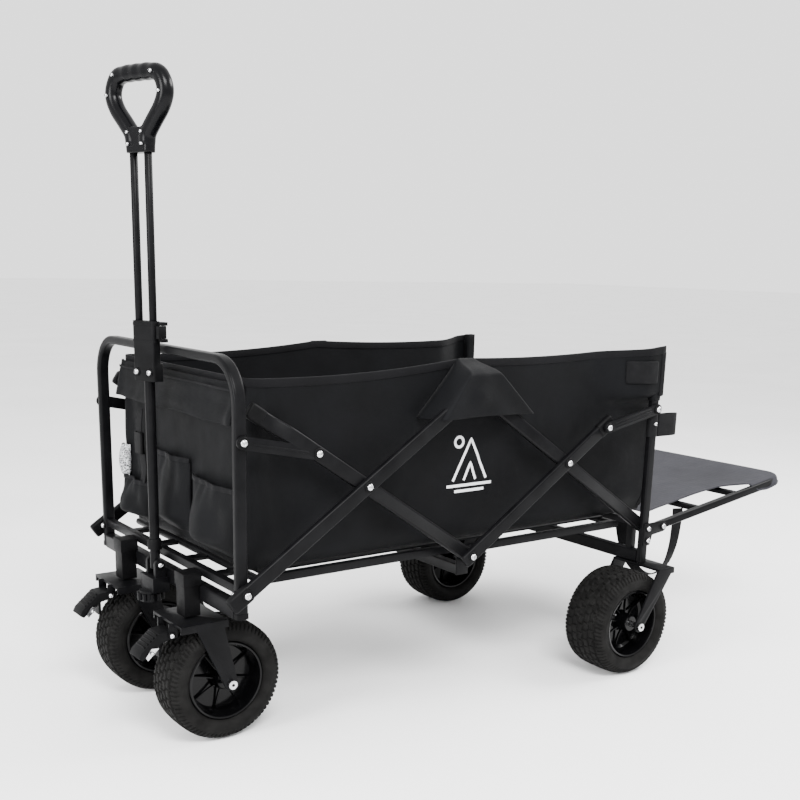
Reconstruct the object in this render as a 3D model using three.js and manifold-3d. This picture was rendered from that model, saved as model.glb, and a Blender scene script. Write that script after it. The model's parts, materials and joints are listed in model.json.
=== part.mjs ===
// Folding wagon: two wheeled end frames joined by a pair of side scissors, with a fabric tub, a folding
// floor, a telescopic pull handle and a hinged tailgate. Millimetres, +Z up, +X towards the handle,
// +Y to the wagon's left. The origin is on the ground under the middle of the bounding box.

import * as THREE from 'three';
import { mergeVertices } from 'three/addons/utils/BufferGeometryUtils.js';
import Module from 'manifold-3d';

const wasm = await Module();
wasm.setup();

// ---- driving dimensions ----
const FRONT_X = 540;              // front frame plane, from the origin
const PIVOT_Z = 258;              // height of the lower scissor pivots
const HALF_RUN = 200;             // pivot to crossing, along X
const HALF_RISE = 132;            // pivot to crossing, along Z
const REAR_X = FRONT_X - 4 * HALF_RUN;
const CENTRE_X = FRONT_X - 2 * HALF_RUN;
const SLOPE = Math.atan2(HALF_RISE, HALF_RUN);
const ARM = Math.hypot(HALF_RISE, HALF_RUN);
const LINK_REACH = 0.409;         // link pin past the crossing, as a share of ARM
const LINK_Z = PIVOT_Z + 210;
const TUBE_WALL = 1.4;
const RUNNING_GAP = 0.35;         // radial clearance of a pin in its hole

const BAR = { width: 22, thick: 11, round: 3.5 };
const OUTER_Y = 251.5;            // centre plane of the outer bars
const INNER_Y = 239.5;            // centre plane of the inner bars
const PIN_R = 4;

const HOOP = { x: 18, y: 13, legY: 238, bottom: 222, top: 580, bend: 58, round: 4 };
const LEG_IN = HOOP.legY - HOOP.y / 2;
const BEAM = { x: 18, z: 24, mid: 230 };
const FLOOR = { z: 262, bar: 12, setback: 45, frontYs: [0, 104, 208.5], rearYs: [15, 90, 221.5] };
const MAT = { thick: 4, halfWidth: 199 };
const FABRIC = { bottom: 274, top: 558, sideY: 211, thick: 4 };

const CASTER = {
  y: 115.5, stemX: 21, trail: 44, front: 56, arms: [13, 59],
  wheelR: 93, tyreWidth: 78, plateZ: 190.5, plate: 4,
};
const PEDAL = { x: 58, z: 176 };
const REAR = { y: 250.5, axleX: 51, wheelR: 93, tyreWidth: 91, plateTop: 190.5, plate: 4 };
const AXLE_R = 5;
const AXLE_HEAD_R = 7;
const FORK_END_R = 10.5;           // round lower end of each fork arm
const FORK_SKIRT = 11;            // depth of the plate's folded sides
const WHEEL_SIDES = 24;
const POST = { x: 16, y: 12, mid: 252.5, bottom: 191, top: 560 };

const HANDLE = { tubeX: 21, tubeR: 7.75, rodX: 24, rodY: 15.25, rodR: 5.6, pivotZ: 248, turn: 17 };
const CLAMP = { bottom: 527, neck: 553, top: 614 };
const GRIP = { bottom: 845, top: 962, halfWidth: 65, thick: 23 };

const TAIL = {
  pivotX: 40, pivotZ: 255, rise: THREE.MathUtils.degToRad(8.4),
  length: 345, tall: 15, thick: 11,
};

// ---- materials ----
const material = (color, roughness, metalness) => (
  new THREE.MeshStandardMaterial({ color, roughness, metalness }));
const STEEL = material(0x2b2b2e, 0.45, 0.35);
const PLASTIC = material(0x1a1a1c, 0.5, 0);
const GLOSS = material(0x0b0b0d, 0.18, 0);
const TYRE = material(0x2c2b29, 0.85, 0);
const ZINC = material(0xc9cbce, 0.28, 0.9);
const FABRIC_BLACK = material(0x15161a, 0.9, 0);
const FABRIC_GREY = material(0x45454c, 0.9, 0);
const WEBBING = material(0x131315, 0.85, 0);

// ---- solids ----
const CUT_REACH = 40;

/** A path that puts its samples exactly on the stations it is given. */
class StationPath extends THREE.Curve {
  constructor(stations) {
    super();
    this.stations = stations;
  }

  getUtoTmapping(u) {
    return u;
  }

  getPoint(t, target = new THREE.Vector3()) {
    const last = this.stations.length - 1;
    const along = THREE.MathUtils.clamp(t, 0, 1) * last;
    const index = Math.min(Math.floor(along), last - 1);
    return target.lerpVectors(this.stations[index], this.stations[index + 1], along - index);
  }

  getTangent(t, target = new THREE.Vector3()) {
    const last = this.stations.length - 1;
    const at = Math.round(THREE.MathUtils.clamp(t, 0, 1) * last);
    const before = this.stations[Math.max(at - 1, 0)];
    const here = this.stations[at];
    const after = this.stations[Math.min(at + 1, last)];
    const arriving = here.clone().sub(before).normalize();
    const leaving = after.clone().sub(here).normalize();
    return target.copy(arriving).add(leaving).normalize();
  }
}

function signedVolume(geometry) {
  const position = geometry.attributes.position;
  const index = geometry.index.array;
  const a = new THREE.Vector3();
  const b = new THREE.Vector3();
  const c = new THREE.Vector3();
  let volume = 0;
  for (let i = 0; i < index.length; i += 3) {
    a.fromBufferAttribute(position, index[i]);
    b.fromBufferAttribute(position, index[i + 1]);
    c.fromBufferAttribute(position, index[i + 2]);
    volume += a.dot(b.cross(c)) / 6;
  }
  return volume;
}

/** Closed, welded, outward-facing copy of a geometry, as a manifold solid. */
function solid(geometry) {
  const bare = geometry.clone();
  bare.deleteAttribute('normal');
  bare.deleteAttribute('uv');
  const welded = mergeVertices(bare, 1e-3);
  const triangles = Uint32Array.from(welded.index.array);
  if (signedVolume(welded) < 0) {
    for (let i = 0; i < triangles.length; i += 3) {
      [triangles[i + 1], triangles[i + 2]] = [triangles[i + 2], triangles[i + 1]];
    }
  }
  const vertices = Float32Array.from(welded.attributes.position.array);
  return new wasm.Manifold(new wasm.Mesh({ numProp: 3, vertProperties: vertices, triVerts: triangles }));
}

function toGeometry(body) {
  const mesh = body.getMesh();
  const geometry = new THREE.BufferGeometry();
  geometry.setAttribute('position', new THREE.BufferAttribute(mesh.vertProperties, 3));
  geometry.setIndex(new THREE.BufferAttribute(mesh.triVerts, 1));
  geometry.computeVertexNormals();
  return geometry;
}

const join = (...bodies) => bodies.reduce((sum, body) => sum.add(body));
const cut = (body, ...tools) => tools.reduce((rest, tool) => rest.subtract(tool), body);

function box(x0, x1, y0, y1, z0, z1) {
  const geometry = new THREE.BoxGeometry(x1 - x0, y1 - y0, z1 - z0);
  return solid(geometry.translate((x0 + x1) / 2, (y0 + y1) / 2, (z0 + z1) / 2));
}

/** Cylinder between two values of Y, round about (x, z). */
function rodAlongY(x, z, radius, y0, y1, sides = 16) {
  const geometry = new THREE.CylinderGeometry(radius, radius, Math.abs(y1 - y0), sides);
  return solid(geometry.translate(x, (y0 + y1) / 2, z));
}

function rodAlongZ(x, y, radius, z0, z1, sides = 24) {
  const geometry = new THREE.CylinderGeometry(radius, radius, z1 - z0, sides);
  return solid(geometry.rotateX(Math.PI / 2).translate(x, y, (z0 + z1) / 2));
}

function roundedRectangle(width, height, radius) {
  const w = width / 2;
  const h = height / 2;
  const shape = new THREE.Shape();
  shape.moveTo(w - radius, -h);
  shape.absarc(w - radius, -h + radius, radius, -Math.PI / 2, 0);
  shape.absarc(w - radius, h - radius, radius, 0, Math.PI / 2);
  shape.absarc(-w + radius, h - radius, radius, Math.PI / 2, Math.PI);
  shape.absarc(-w + radius, -h + radius, radius, Math.PI, 1.5 * Math.PI);
  return shape;
}

function tubeSection(width, height, radius, wall = TUBE_WALL) {
  const shape = roundedRectangle(width, height, radius);
  const w = width / 2 - wall;
  const h = height / 2 - wall;
  const corners = [[w, -h], [w, h], [-w, h], [-w, -h]];
  shape.holes.push(new THREE.Path(corners.map(([x, y]) => new THREE.Vector2(x, y))));
  return shape;
}

/** Sweeps a section along straight and bent stations. */
function sweep(section, stations, curveSegments = 2) {
  const options = { steps: stations.length - 1, curveSegments, extrudePath: new StationPath(stations) };
  return solid(new THREE.ExtrudeGeometry(section, options));
}

/** Outline in X and Z, made thick from y0 to y1. */
function plateAlongY(outline, y0, y1, curveSegments = 6) {
  const geometry = new THREE.ExtrudeGeometry(outline, { depth: y1 - y0, bevelEnabled: false, curveSegments });
  return solid(geometry.rotateX(Math.PI / 2).translate(0, y1, 0));
}

/** Ring or disc about the Y axis from points of (radius, y). */
function turnedAboutY(profile, segments = 32) {
  const points = profile.map(([radius, y]) => new THREE.Vector2(radius, y));
  return solid(new THREE.LatheGeometry(points, segments));
}

// ---- assembly ----
const wagon = new THREE.Group();
wagon.name = 'folding_wagon';
const frontPlane = new THREE.Group();
frontPlane.position.x = FRONT_X;
wagon.add(frontPlane);
const rearPlane = new THREE.Group();
rearPlane.position.x = REAR_X;
wagon.add(rearPlane);

function place(parent, name, body, look, position = [0, 0, 0], turnY = 0) {
  const mesh = new THREE.Mesh(toGeometry(body), look);
  mesh.name = name;
  mesh.position.set(...position);
  mesh.rotation.y = turnY;
  parent.add(mesh);
}

const SIDES = [['left', 1], ['right', -1]];

// ---- front frame ----
function bentCorner(centre, radius, from, to, steps) {
  const stations = [];
  for (let i = 0; i <= steps; i += 1) {
    const angle = from + (to - from) * i / steps;
    const outward = new THREE.Vector3(0, Math.cos(angle), Math.sin(angle));
    stations.push(centre.clone().addScaledVector(outward, radius));
  }
  return stations;
}

function addFrontFrame() {
  const topLine = HOOP.top - HOOP.y / 2;
  const bendZ = topLine - HOOP.bend;
  const bendY = HOOP.legY - HOOP.bend;
  const stations = [
    new THREE.Vector3(0, HOOP.legY, HOOP.bottom),
    ...bentCorner(new THREE.Vector3(0, bendY, bendZ), HOOP.bend, 0, Math.PI / 2, 5),
    ...bentCorner(new THREE.Vector3(0, -bendY, bendZ), HOOP.bend, Math.PI / 2, Math.PI, 5),
    new THREE.Vector3(0, -HOOP.legY, HOOP.bottom),
  ];
  const tube = sweep(tubeSection(HOOP.y, HOOP.x, HOOP.round), stations);
  const holeR = PIN_R + RUNNING_GAP;
  const legHoles = SIDES.flatMap(([, side]) => [PIVOT_Z, LINK_Z].map((z) => (
    rodAlongY(0, z, holeR, side * (HOOP.legY - 1), side * (HOOP.legY + CUT_REACH), 10))));
  place(frontPlane, 'front_hoop', cut(tube, ...legHoles), STEEL);

  const half = LEG_IN - 0.3;
  const beam = sweep(tubeSection(BEAM.z, BEAM.x, 2.5), [
    new THREE.Vector3(0, -half, BEAM.mid),
    new THREE.Vector3(0, half, BEAM.mid),
  ]);
  place(frontPlane, 'caster_beam', beam, STEEL);

  const bar = FLOOR.bar / 2;
  const lugEnd = FLOOR.setback - bar - 1;
  const cross = box(-bar, bar, -half, half, FLOOR.z - bar, FLOOR.z + bar);
  const lugs = [-150, -52, 52, 150].map((y) => box(-lugEnd, 0, y - 9, y + 9, FLOOR.z - 3, FLOOR.z + 3));
  place(frontPlane, 'front_floor_bar', join(cross, ...lugs), STEEL);

  for (const [label, side] of SIDES) {
    const y = side * CASTER.y;
    const front = box(BEAM.x / 2 + 0.3, 34, y - 14, y + 14, 196.5, 259);
    const cap = box(6.5, 35.5, y - 15.5, y + 15.5, BEAM.mid + BEAM.z / 2 + 0.3, 262);
    const stemHole = rodAlongZ(CASTER.stemX, y, 6 + RUNNING_GAP, 180, 240, 16);
    place(frontPlane, `caster_housing_${label}`, cut(join(front, cap), stemHole), PLASTIC);
  }

  const block = box(BEAM.x / 2 + 0.3, 36, -24, 24, 206, 229);
  const pivotHole = rodAlongY(HANDLE.tubeX, HANDLE.pivotZ, PIN_R + RUNNING_GAP, -CUT_REACH, CUT_REACH, 10);
  const ears = SIDES.map(([, side]) => {
    const y = side * 14.5;
    const stem = box(13, 29, y - 3.5, y + 3.5, 220, HANDLE.pivotZ);
    return join(stem, rodAlongY(HANDLE.tubeX, HANDLE.pivotZ, 8, y - 3.5, y + 3.5));
  });
  const ratchet = rodAlongZ(30, 0, 17, 190, 206.5, 20);
  const teeth = Array.from({ length: 10 }, (_, i) => {
    const angle = i * Math.PI / 5;
    return rodAlongZ(30 + 18 * Math.cos(angle), 18 * Math.sin(angle), 3.5, 192, 203, 6);
  });
  place(frontPlane, 'handle_hub', cut(join(block, ratchet, ...teeth, ...ears), pivotHole), STEEL);

  const panel = box(-30, -12, -204, 204, FABRIC.bottom, FABRIC.top);
  place(frontPlane, 'front_panel', panel, FABRIC_BLACK);
}

// ---- pull handle ----
function gripOutline() {
  const { bottom, top, halfWidth } = GRIP;
  const midZ = bottom + 76;
  const holeHalf = halfWidth - 21;
  const shape = new THREE.Shape();
  shape.moveTo(-24, bottom);
  shape.lineTo(24, bottom);
  shape.lineTo(25, bottom + 22);
  shape.bezierCurveTo(29, bottom + 40, halfWidth, midZ - 30, halfWidth, midZ + 4);
  shape.bezierCurveTo(halfWidth, top - 14, 54, top - 3, 38, top - 1);
  shape.bezierCurveTo(18, top + 1, -18, top + 1, -38, top - 1);
  shape.bezierCurveTo(-54, top - 3, -halfWidth, top - 14, -halfWidth, midZ + 4);
  shape.bezierCurveTo(-halfWidth, midZ - 30, -29, bottom + 40, -25, bottom + 22);
  const hole = new THREE.Path();
  hole.moveTo(0, bottom + 40);
  hole.bezierCurveTo(20, bottom + 40, holeHalf, midZ - 18, holeHalf, midZ + 4);
  hole.bezierCurveTo(holeHalf, midZ + 13, 40, midZ + 19, 32, midZ + 19);
  hole.lineTo(-32, midZ + 19);
  hole.bezierCurveTo(-40, midZ + 19, -holeHalf, midZ + 13, -holeHalf, midZ + 4);
  hole.bezierCurveTo(-holeHalf, midZ - 18, -20, bottom + 40, 0, bottom + 40);
  shape.holes.push(hole);
  return shape;
}

/** The clamp, rods and grip stand turned about the lower tube, so the grip faces a little to the left. */
const turnedOnTube = (body) => (
  body.translate([-HANDLE.tubeX, 0, 0]).rotate([0, 0, HANDLE.turn]).translate([HANDLE.tubeX, 0, 0]));

/** Upright block with rounded corners, centred on Y = 0. */
function uprightBlock(x0, x1, halfY, radius, z0, z1) {
  const outline = roundedRectangle(x1 - x0, 2 * halfY, radius);
  const options = { depth: z1 - z0, bevelEnabled: false, curveSegments: 3 };
  return solid(new THREE.ExtrudeGeometry(outline, options).translate((x0 + x1) / 2, 0, z0));
}

function addHandle() {
  const pivotHole = rodAlongY(HANDLE.tubeX, HANDLE.pivotZ, 3, -CUT_REACH, CUT_REACH, 10);
  const tube = cut(
    rodAlongZ(HANDLE.tubeX, 0, HANDLE.tubeR, HANDLE.pivotZ - 8, CLAMP.neck - 1),
    rodAlongZ(HANDLE.tubeX, 0, HANDLE.tubeR - 1.5, HANDLE.pivotZ + 14, CLAMP.neck),
    pivotHole,
  );
  const pin = rodAlongY(HANDLE.tubeX, HANDLE.pivotZ, PIN_R, -17.5, 17.5, 10);
  place(frontPlane, 'handle_tube', join(tube, pin), STEEL);

  const headBottom = CLAMP.top - 31;
  const collar = uprightBlock(12, 31.5, 22.5, 4, CLAMP.bottom, CLAMP.neck);
  const body = uprightBlock(16.8, 31.2, 22.4, 3, CLAMP.neck, headBottom);
  const head = uprightBlock(16.5, 31.5, 23, 4, headBottom, CLAMP.top);
  const ears = [CLAMP.top - 30, CLAMP.top - 6].map((z) => box(10.5, 22, 18, 31, z, z + 5));
  const rodHoles = SIDES.map(([, side]) => (
    rodAlongZ(HANDLE.rodX, side * HANDLE.rodY, HANDLE.rodR + RUNNING_GAP, CLAMP.bottom - 1, CLAMP.top + 1)));
  const tubeHole = rodAlongZ(HANDLE.tubeX, 0, HANDLE.tubeR + 0.3, CLAMP.bottom - 1, CLAMP.neck - 0.7);
  const clamp = cut(join(collar, body, head, ...ears), ...rodHoles, tubeHole);
  place(frontPlane, 'handle_clamp', turnedOnTube(clamp), PLASTIC);

  const pad = box(13.5, 28, 25, 31, CLAMP.top - 24.5, CLAMP.top - 6.5);
  const hinge = rodAlongZ(13.5, 27.6, 2.6, CLAMP.top - 24.5, CLAMP.top - 6.5, 10);
  place(frontPlane, 'clamp_lever', turnedOnTube(join(pad, hinge)), PLASTIC);

  for (const [label, side] of SIDES) {
    const outer = rodAlongZ(HANDLE.rodX, side * HANDLE.rodY, HANDLE.rodR, 540, GRIP.bottom + 30, 20);
    const inner = rodAlongZ(HANDLE.rodX, side * HANDLE.rodY, HANDLE.rodR - 1.2, 539, GRIP.bottom + 20, 10);
    place(frontPlane, `handle_rod_${label}`, turnedOnTube(cut(outer, inner)), STEEL);
  }

  const bevel = 7;
  const rim = new THREE.ExtrudeGeometry(gripOutline(), {
    depth: GRIP.thick - 2 * bevel,
    bevelThickness: bevel,
    bevelSize: bevel - 1,
    bevelOffset: 1 - bevel,
    bevelSegments: 2,
    curveSegments: 5,
  });
  rim.translate(0, 0, bevel - GRIP.thick / 2);
  rim.applyMatrix4(new THREE.Matrix4().makeBasis(
    new THREE.Vector3(0, 1, 0), new THREE.Vector3(0, 0, 1), new THREE.Vector3(1, 0, 0)));
  rim.translate(HANDLE.rodX, 0, 0);
  const sockets = SIDES.map(([, side]) => (
    rodAlongZ(HANDLE.rodX, side * HANDLE.rodY, HANDLE.rodR + 0.3, GRIP.bottom - 9, GRIP.bottom + 30.3, 20)));
  place(frontPlane, 'handle_grip', turnedOnTube(cut(solid(rim), ...sockets)), GLOSS);
}

// ---- wheels and forks ----
function tyreProfile(radius, width) {
  const h = width / 2;
  const rimR = radius * 0.66;
  return [
    [rimR, -h + 5], [rimR + 8, -h], [radius - 14, -h], [radius - 4, -h + 6], [radius, -h + 16],
    [radius, h - 16], [radius - 4, h - 6], [radius - 14, h], [rimR + 8, h], [rimR, h - 5], [rimR, -h + 5],
  ];
}

function rimProfile(radius, width) {
  const h = width / 2;
  const seat = radius * 0.66 - 0.3;
  const bore = AXLE_R + RUNNING_GAP;
  return [
    [bore, -h + 8], [14, -h + 8], [14, -6], [seat - 7, -6], [seat - 7, -h + 8], [seat, -h + 8],
    [seat, h - 8], [seat - 7, h - 8], [seat - 7, 6], [14, 6], [14, h - 8], [bore, h - 8], [bore, -h + 8],
  ];
}

function addWheel(parent, prefix, label, wheel, position) {
  const { wheelR, tyreWidth } = wheel;
  const tyre = turnedAboutY(tyreProfile(wheelR, tyreWidth), WHEEL_SIDES);
  const rim = turnedAboutY(rimProfile(wheelR, tyreWidth), WHEEL_SIDES);
  place(parent, `${prefix}_tyre_${label}`, tyre, TYRE, position);
  place(parent, `${prefix}_rim_${label}`, rim, GLOSS, position);
}

/** Tapered fork arm in X and Z, from the axle at the origin up to the plate. */
function armOutline(axleEnd, plateX0, plateX1, plateZ) {
  const shape = new THREE.Shape();
  const slope = Math.atan2(plateZ, (plateX0 + plateX1) / 2);
  shape.moveTo(plateX1, plateZ);
  shape.lineTo(plateX0, plateZ);
  shape.absarc(0, 0, axleEnd, slope + Math.PI / 2, slope + 1.5 * Math.PI);
  shape.closePath();
  return shape;
}

/** Fork with a flat top from plateX0 to plateX1 and tapered arms under it, from armX0 to armX1. */
function forkBody(wheel, [plateX0, plateX1], [armX0, armX1], plateTop) {
  const inner = wheel.tyreWidth / 2 + 5;
  const outer = inner + wheel.plate;
  const height = plateTop - wheel.wheelR;
  const outline = armOutline(FORK_END_R, armX0, armX1, height);
  const arms = SIDES.map(([, side]) => (
    plateAlongY(outline, Math.min(side * inner, side * outer), Math.max(side * inner, side * outer), 5)));
  const skirts = SIDES.map(([, side]) => {
    const low = Math.min(side * inner, side * outer);
    return box(plateX0, plateX1, low, low + wheel.plate, height - FORK_SKIRT, height);
  });
  const top = box(plateX0, plateX1, -outer, outer, height - wheel.plate, height);
  const axleHole = rodAlongY(0, 0, AXLE_R + RUNNING_GAP, -outer - 5, outer + 5);
  return cut(join(...arms, ...skirts, top), axleHole);
}

function axleBody(wheel) {
  const reach = wheel.tyreWidth / 2 + 5 + wheel.plate;
  const shaft = rodAlongY(0, 0, AXLE_R, -reach - 6, reach + 1);
  const head = rodAlongY(0, 0, AXLE_HEAD_R, reach + 0.4, reach + 5);
  const nut = rodAlongY(0, 0, AXLE_HEAD_R + 0.6, -reach - 6, -reach - 0.4, 6);
  return join(shaft, head, nut);
}

function addCaster(label, side) {
  const y = side * CASTER.y;
  const axleX = CASTER.stemX - CASTER.trail;
  const axle = [axleX, y, CASTER.wheelR];
  const plateTop = CASTER.plateZ + CASTER.plate;
  const fork = forkBody(CASTER, [4, CASTER.front - axleX], CASTER.arms, plateTop);
  const stem = rodAlongZ(CASTER.trail, 0, 6, plateTop - CASTER.wheelR - 1, 236 - CASTER.wheelR, 16);
  const pedalX = PEDAL.x - axleX;
  const pedalZ = PEDAL.z - CASTER.wheelR;
  const ears = SIDES.map(([, hand]) => {
    const near = Math.min(hand * 17.6, hand * 20.6);
    const ear = box(pedalX - 9, pedalX + 4, near, near + 3, pedalZ - 5, plateTop - CASTER.wheelR - 1);
    return cut(ear, rodAlongY(pedalX, pedalZ, 2.5 + RUNNING_GAP, -CUT_REACH, CUT_REACH, 10));
  });
  place(frontPlane, `caster_fork_${label}`, join(fork, stem, ...ears), STEEL, axle);
  place(frontPlane, `caster_axle_${label}`, axleBody(CASTER), ZINC, axle, 0);
  addWheel(frontPlane, 'caster', label, CASTER, axle);

  const pedal = new THREE.Shape();
  pedal.moveTo(-5, -6);
  pedal.lineTo(14, -10);
  pedal.lineTo(44, -32);
  pedal.lineTo(50, -28);
  pedal.lineTo(46, -20);
  pedal.lineTo(18, 4);
  pedal.lineTo(-4, 6);
  pedal.closePath();
  const bracket = box(12, 16, -9, 9, -34, -4);
  const body = join(plateAlongY(pedal, -17, 17), bracket, rodAlongY(0, 0, 2.5, -20.5, 20.5, 10));
  place(frontPlane, `brake_pedal_${label}`, body, PLASTIC, [PEDAL.x, y, PEDAL.z]);
}

// ---- rear frame ----
function addRearFrame() {
  for (const [label, side] of SIDES) {
    const y = side * POST.mid;
    const post = sweep(tubeSection(POST.y, POST.x, 3), [
      new THREE.Vector3(0, y, POST.bottom),
      new THREE.Vector3(0, y, POST.top),
    ]);
    const holeR = PIN_R + RUNNING_GAP;
    const barHoleHere = rodAlongY(0, PIVOT_Z, holeR, side * (POST.mid - CUT_REACH), side * POST.mid, 10);
    const linkHole = rodAlongY(0, LINK_Z, holeR, side * POST.mid, side * (POST.mid + CUT_REACH), 10);
    place(rearPlane, `rear_post_${label}`, cut(post, barHoleHere, linkHole), STEEL);

    const wheelY = side * REAR.y;
    const axle = [REAR.axleX, wheelY, REAR.wheelR];
    const plateSpan = [-REAR.axleX - 30, -REAR.axleX + 10];
    place(rearPlane, `rear_fork_${label}`, forkBody(REAR, plateSpan, plateSpan, REAR.plateTop), STEEL, axle);
    const shaft = axleBody(REAR);
    const mirrored = side > 0 ? shaft : shaft.mirror([0, 1, 0]);
    place(rearPlane, `rear_axle_${label}`, mirrored, ZINC, axle);
    addWheel(rearPlane, 'rear', label, REAR, axle);

    const plate = new THREE.Shape();
    plate.moveTo(8, -34);
    plate.lineTo(8, 6);
    plate.lineTo(-TAIL.pivotX, TAIL.pivotZ - PIVOT_Z + 10);
    plate.absarc(-TAIL.pivotX, TAIL.pivotZ - PIVOT_Z, 10, Math.PI / 2, 1.5 * Math.PI);
    plate.lineTo(-14, -16);
    plate.lineTo(-8, -34);
    plate.closePath();
    const inside = side * (POST.mid + POST.y / 2 + 0.4);
    const outside = inside + side * 3;
    const web = plateAlongY(plate, Math.min(inside, outside), Math.max(inside, outside));
    const pin = rodAlongY(-TAIL.pivotX, TAIL.pivotZ - PIVOT_Z, 3.5, side * (POST.mid - 4), outside, 10);
    place(rearPlane, `tail_hinge_plate_${label}`, join(web, pin), STEEL, [0, 0, PIVOT_Z]);
  }
  const half = POST.mid - POST.y / 2 - 0.3;
  const beam = sweep(tubeSection(22, 16, 2.5), [
    new THREE.Vector3(0, -half, POST.bottom + 11),
    new THREE.Vector3(0, half, POST.bottom + 11),
  ]);
  place(rearPlane, 'rear_beam', beam, STEEL);

  const bar = FLOOR.bar / 2;
  const floorHalf = INNER_Y - BAR.thick / 2 - 2;
  const lugEnd = FLOOR.setback - bar - 1;
  const cross = box(-bar, bar, -floorHalf, floorHalf, FLOOR.z - bar, FLOOR.z + bar);
  const lugs = [-150, -52, 52, 150].map((y) => box(0, lugEnd, y - 9, y + 9, FLOOR.z - 3, FLOOR.z + 3));
  const ties = [-225, 225].map((y) => box(-bar, bar, y - 6, y + 6, POST.bottom + 22.3, FLOOR.z));
  place(rearPlane, 'rear_floor_bar', join(cross, ...lugs, ...ties), STEEL);
}

// ---- side scissors ----
function straightBar(from, to) {
  return sweep(tubeSection(BAR.width, BAR.thick, BAR.round), [
    new THREE.Vector3(from, 0, 0),
    new THREE.Vector3(to, 0, 0),
  ]);
}

/** Bar whose forward end steps inboard, so that it passes inside the front leg. */
function steppedBar(from, to, side) {
  const step = -side * 15;
  const start = to - 70;
  const finish = to - 28;
  const stations = [new THREE.Vector3(from, 0, 0)];
  for (let i = 0; i <= 3; i += 1) {
    const share = i / 3;
    const ease = share * share * (3 - 2 * share);
    stations.push(new THREE.Vector3(start + (finish - start) * share, step * ease, 0));
  }
  stations.push(new THREE.Vector3(to, step, 0));
  return sweep(tubeSection(BAR.width, BAR.thick, BAR.round), stations);
}

const barHole = (x) => rodAlongY(x, 0, PIN_R + RUNNING_GAP, -CUT_REACH, CUT_REACH, 10);

/** Pin at x along the bar that stands out of its inner face (towards the wagon's middle) or outer face. */
function barPin(x, side, inward, outward) {
  return rodAlongY(x, 0, PIN_R, -side * inward, side * outward, 10);
}

function stadium(length, radius) {
  const shape = new THREE.Shape();
  shape.absarc(0, 0, radius, Math.PI / 2, 1.5 * Math.PI);
  shape.absarc(length, 0, radius, -Math.PI / 2, Math.PI / 2);
  shape.closePath();
  return shape;
}

function addSide(label, side) {
  const outerY = side * OUTER_Y;
  const innerY = side * INNER_Y;
  const full = 2 * ARM;
  const pastPin = 14;
  const through = OUTER_Y - INNER_Y + 4;
  const rising = Math.PI + SLOPE;
  const falling = -SLOPE;

  const frontOuter = join(
    straightBar(-24, full + pastPin), barPin(0, side, 17, 3), barPin(ARM, side, through, 3));
  place(wagon, `front_outer_bar_${label}`, cut(frontOuter, barHole(full)), STEEL,
    [FRONT_X, outerY, PIVOT_Z], rising);

  const frontInner = cut(steppedBar(-pastPin, full - 28, side), barHole(0), barHole(ARM));
  place(wagon, `front_inner_bar_${label}`, frontInner, STEEL, [CENTRE_X, innerY, PIVOT_Z], falling);

  const linkAt = (1 + LINK_REACH) * ARM;
  const rearOuter = join(
    straightBar(-pastPin, linkAt + 16), barPin(0, side, 22, 3), barPin(ARM, side, through, 3));
  place(wagon, `rear_outer_bar_${label}`, rearOuter, STEEL, [CENTRE_X, outerY, PIVOT_Z], rising);

  const rearInner = join(
    straightBar(-pastPin, full + pastPin), barPin(0, side, 4, 15), barPin(full, side, 4, 16));
  place(wagon, `rear_inner_bar_${label}`, cut(rearInner, barHole(ARM)), STEEL,
    [REAR_X, innerY, PIVOT_Z], falling);

  const reach = (1 - LINK_REACH) * HALF_RUN;
  const drop = LINK_Z - PIVOT_Z - (1 + LINK_REACH) * HALF_RISE;
  const length = Math.hypot(reach, drop);
  const tilt = Math.atan2(drop, reach);
  const thick = 4;
  const ridgeY = side * (thick / 2 + 1.6);
  const linkPlate = () => join(
    plateAlongY(stadium(length, 9), -thick / 2, thick / 2),
    box(8, length - 8, Math.min(0, ridgeY), Math.max(0, ridgeY), -2.5, 2.5),
  );
  const frontPin = rodAlongY(0, 0, PIN_R, -side * 10, side * 2, 10);
  place(wagon, `front_link_${label}`, join(linkPlate(), frontPin), STEEL,
    [FRONT_X, side * (OUTER_Y - 3.4), LINK_Z], Math.PI - tilt);
  const rearPin = rodAlongY(0, 0, PIN_R, -side * 8, side * 2, 10);
  place(wagon, `rear_link_${label}`, join(linkPlate(), rearPin), STEEL,
    [REAR_X, side * (POST.mid + POST.y / 2 + 3), LINK_Z], tilt);
}

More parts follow.
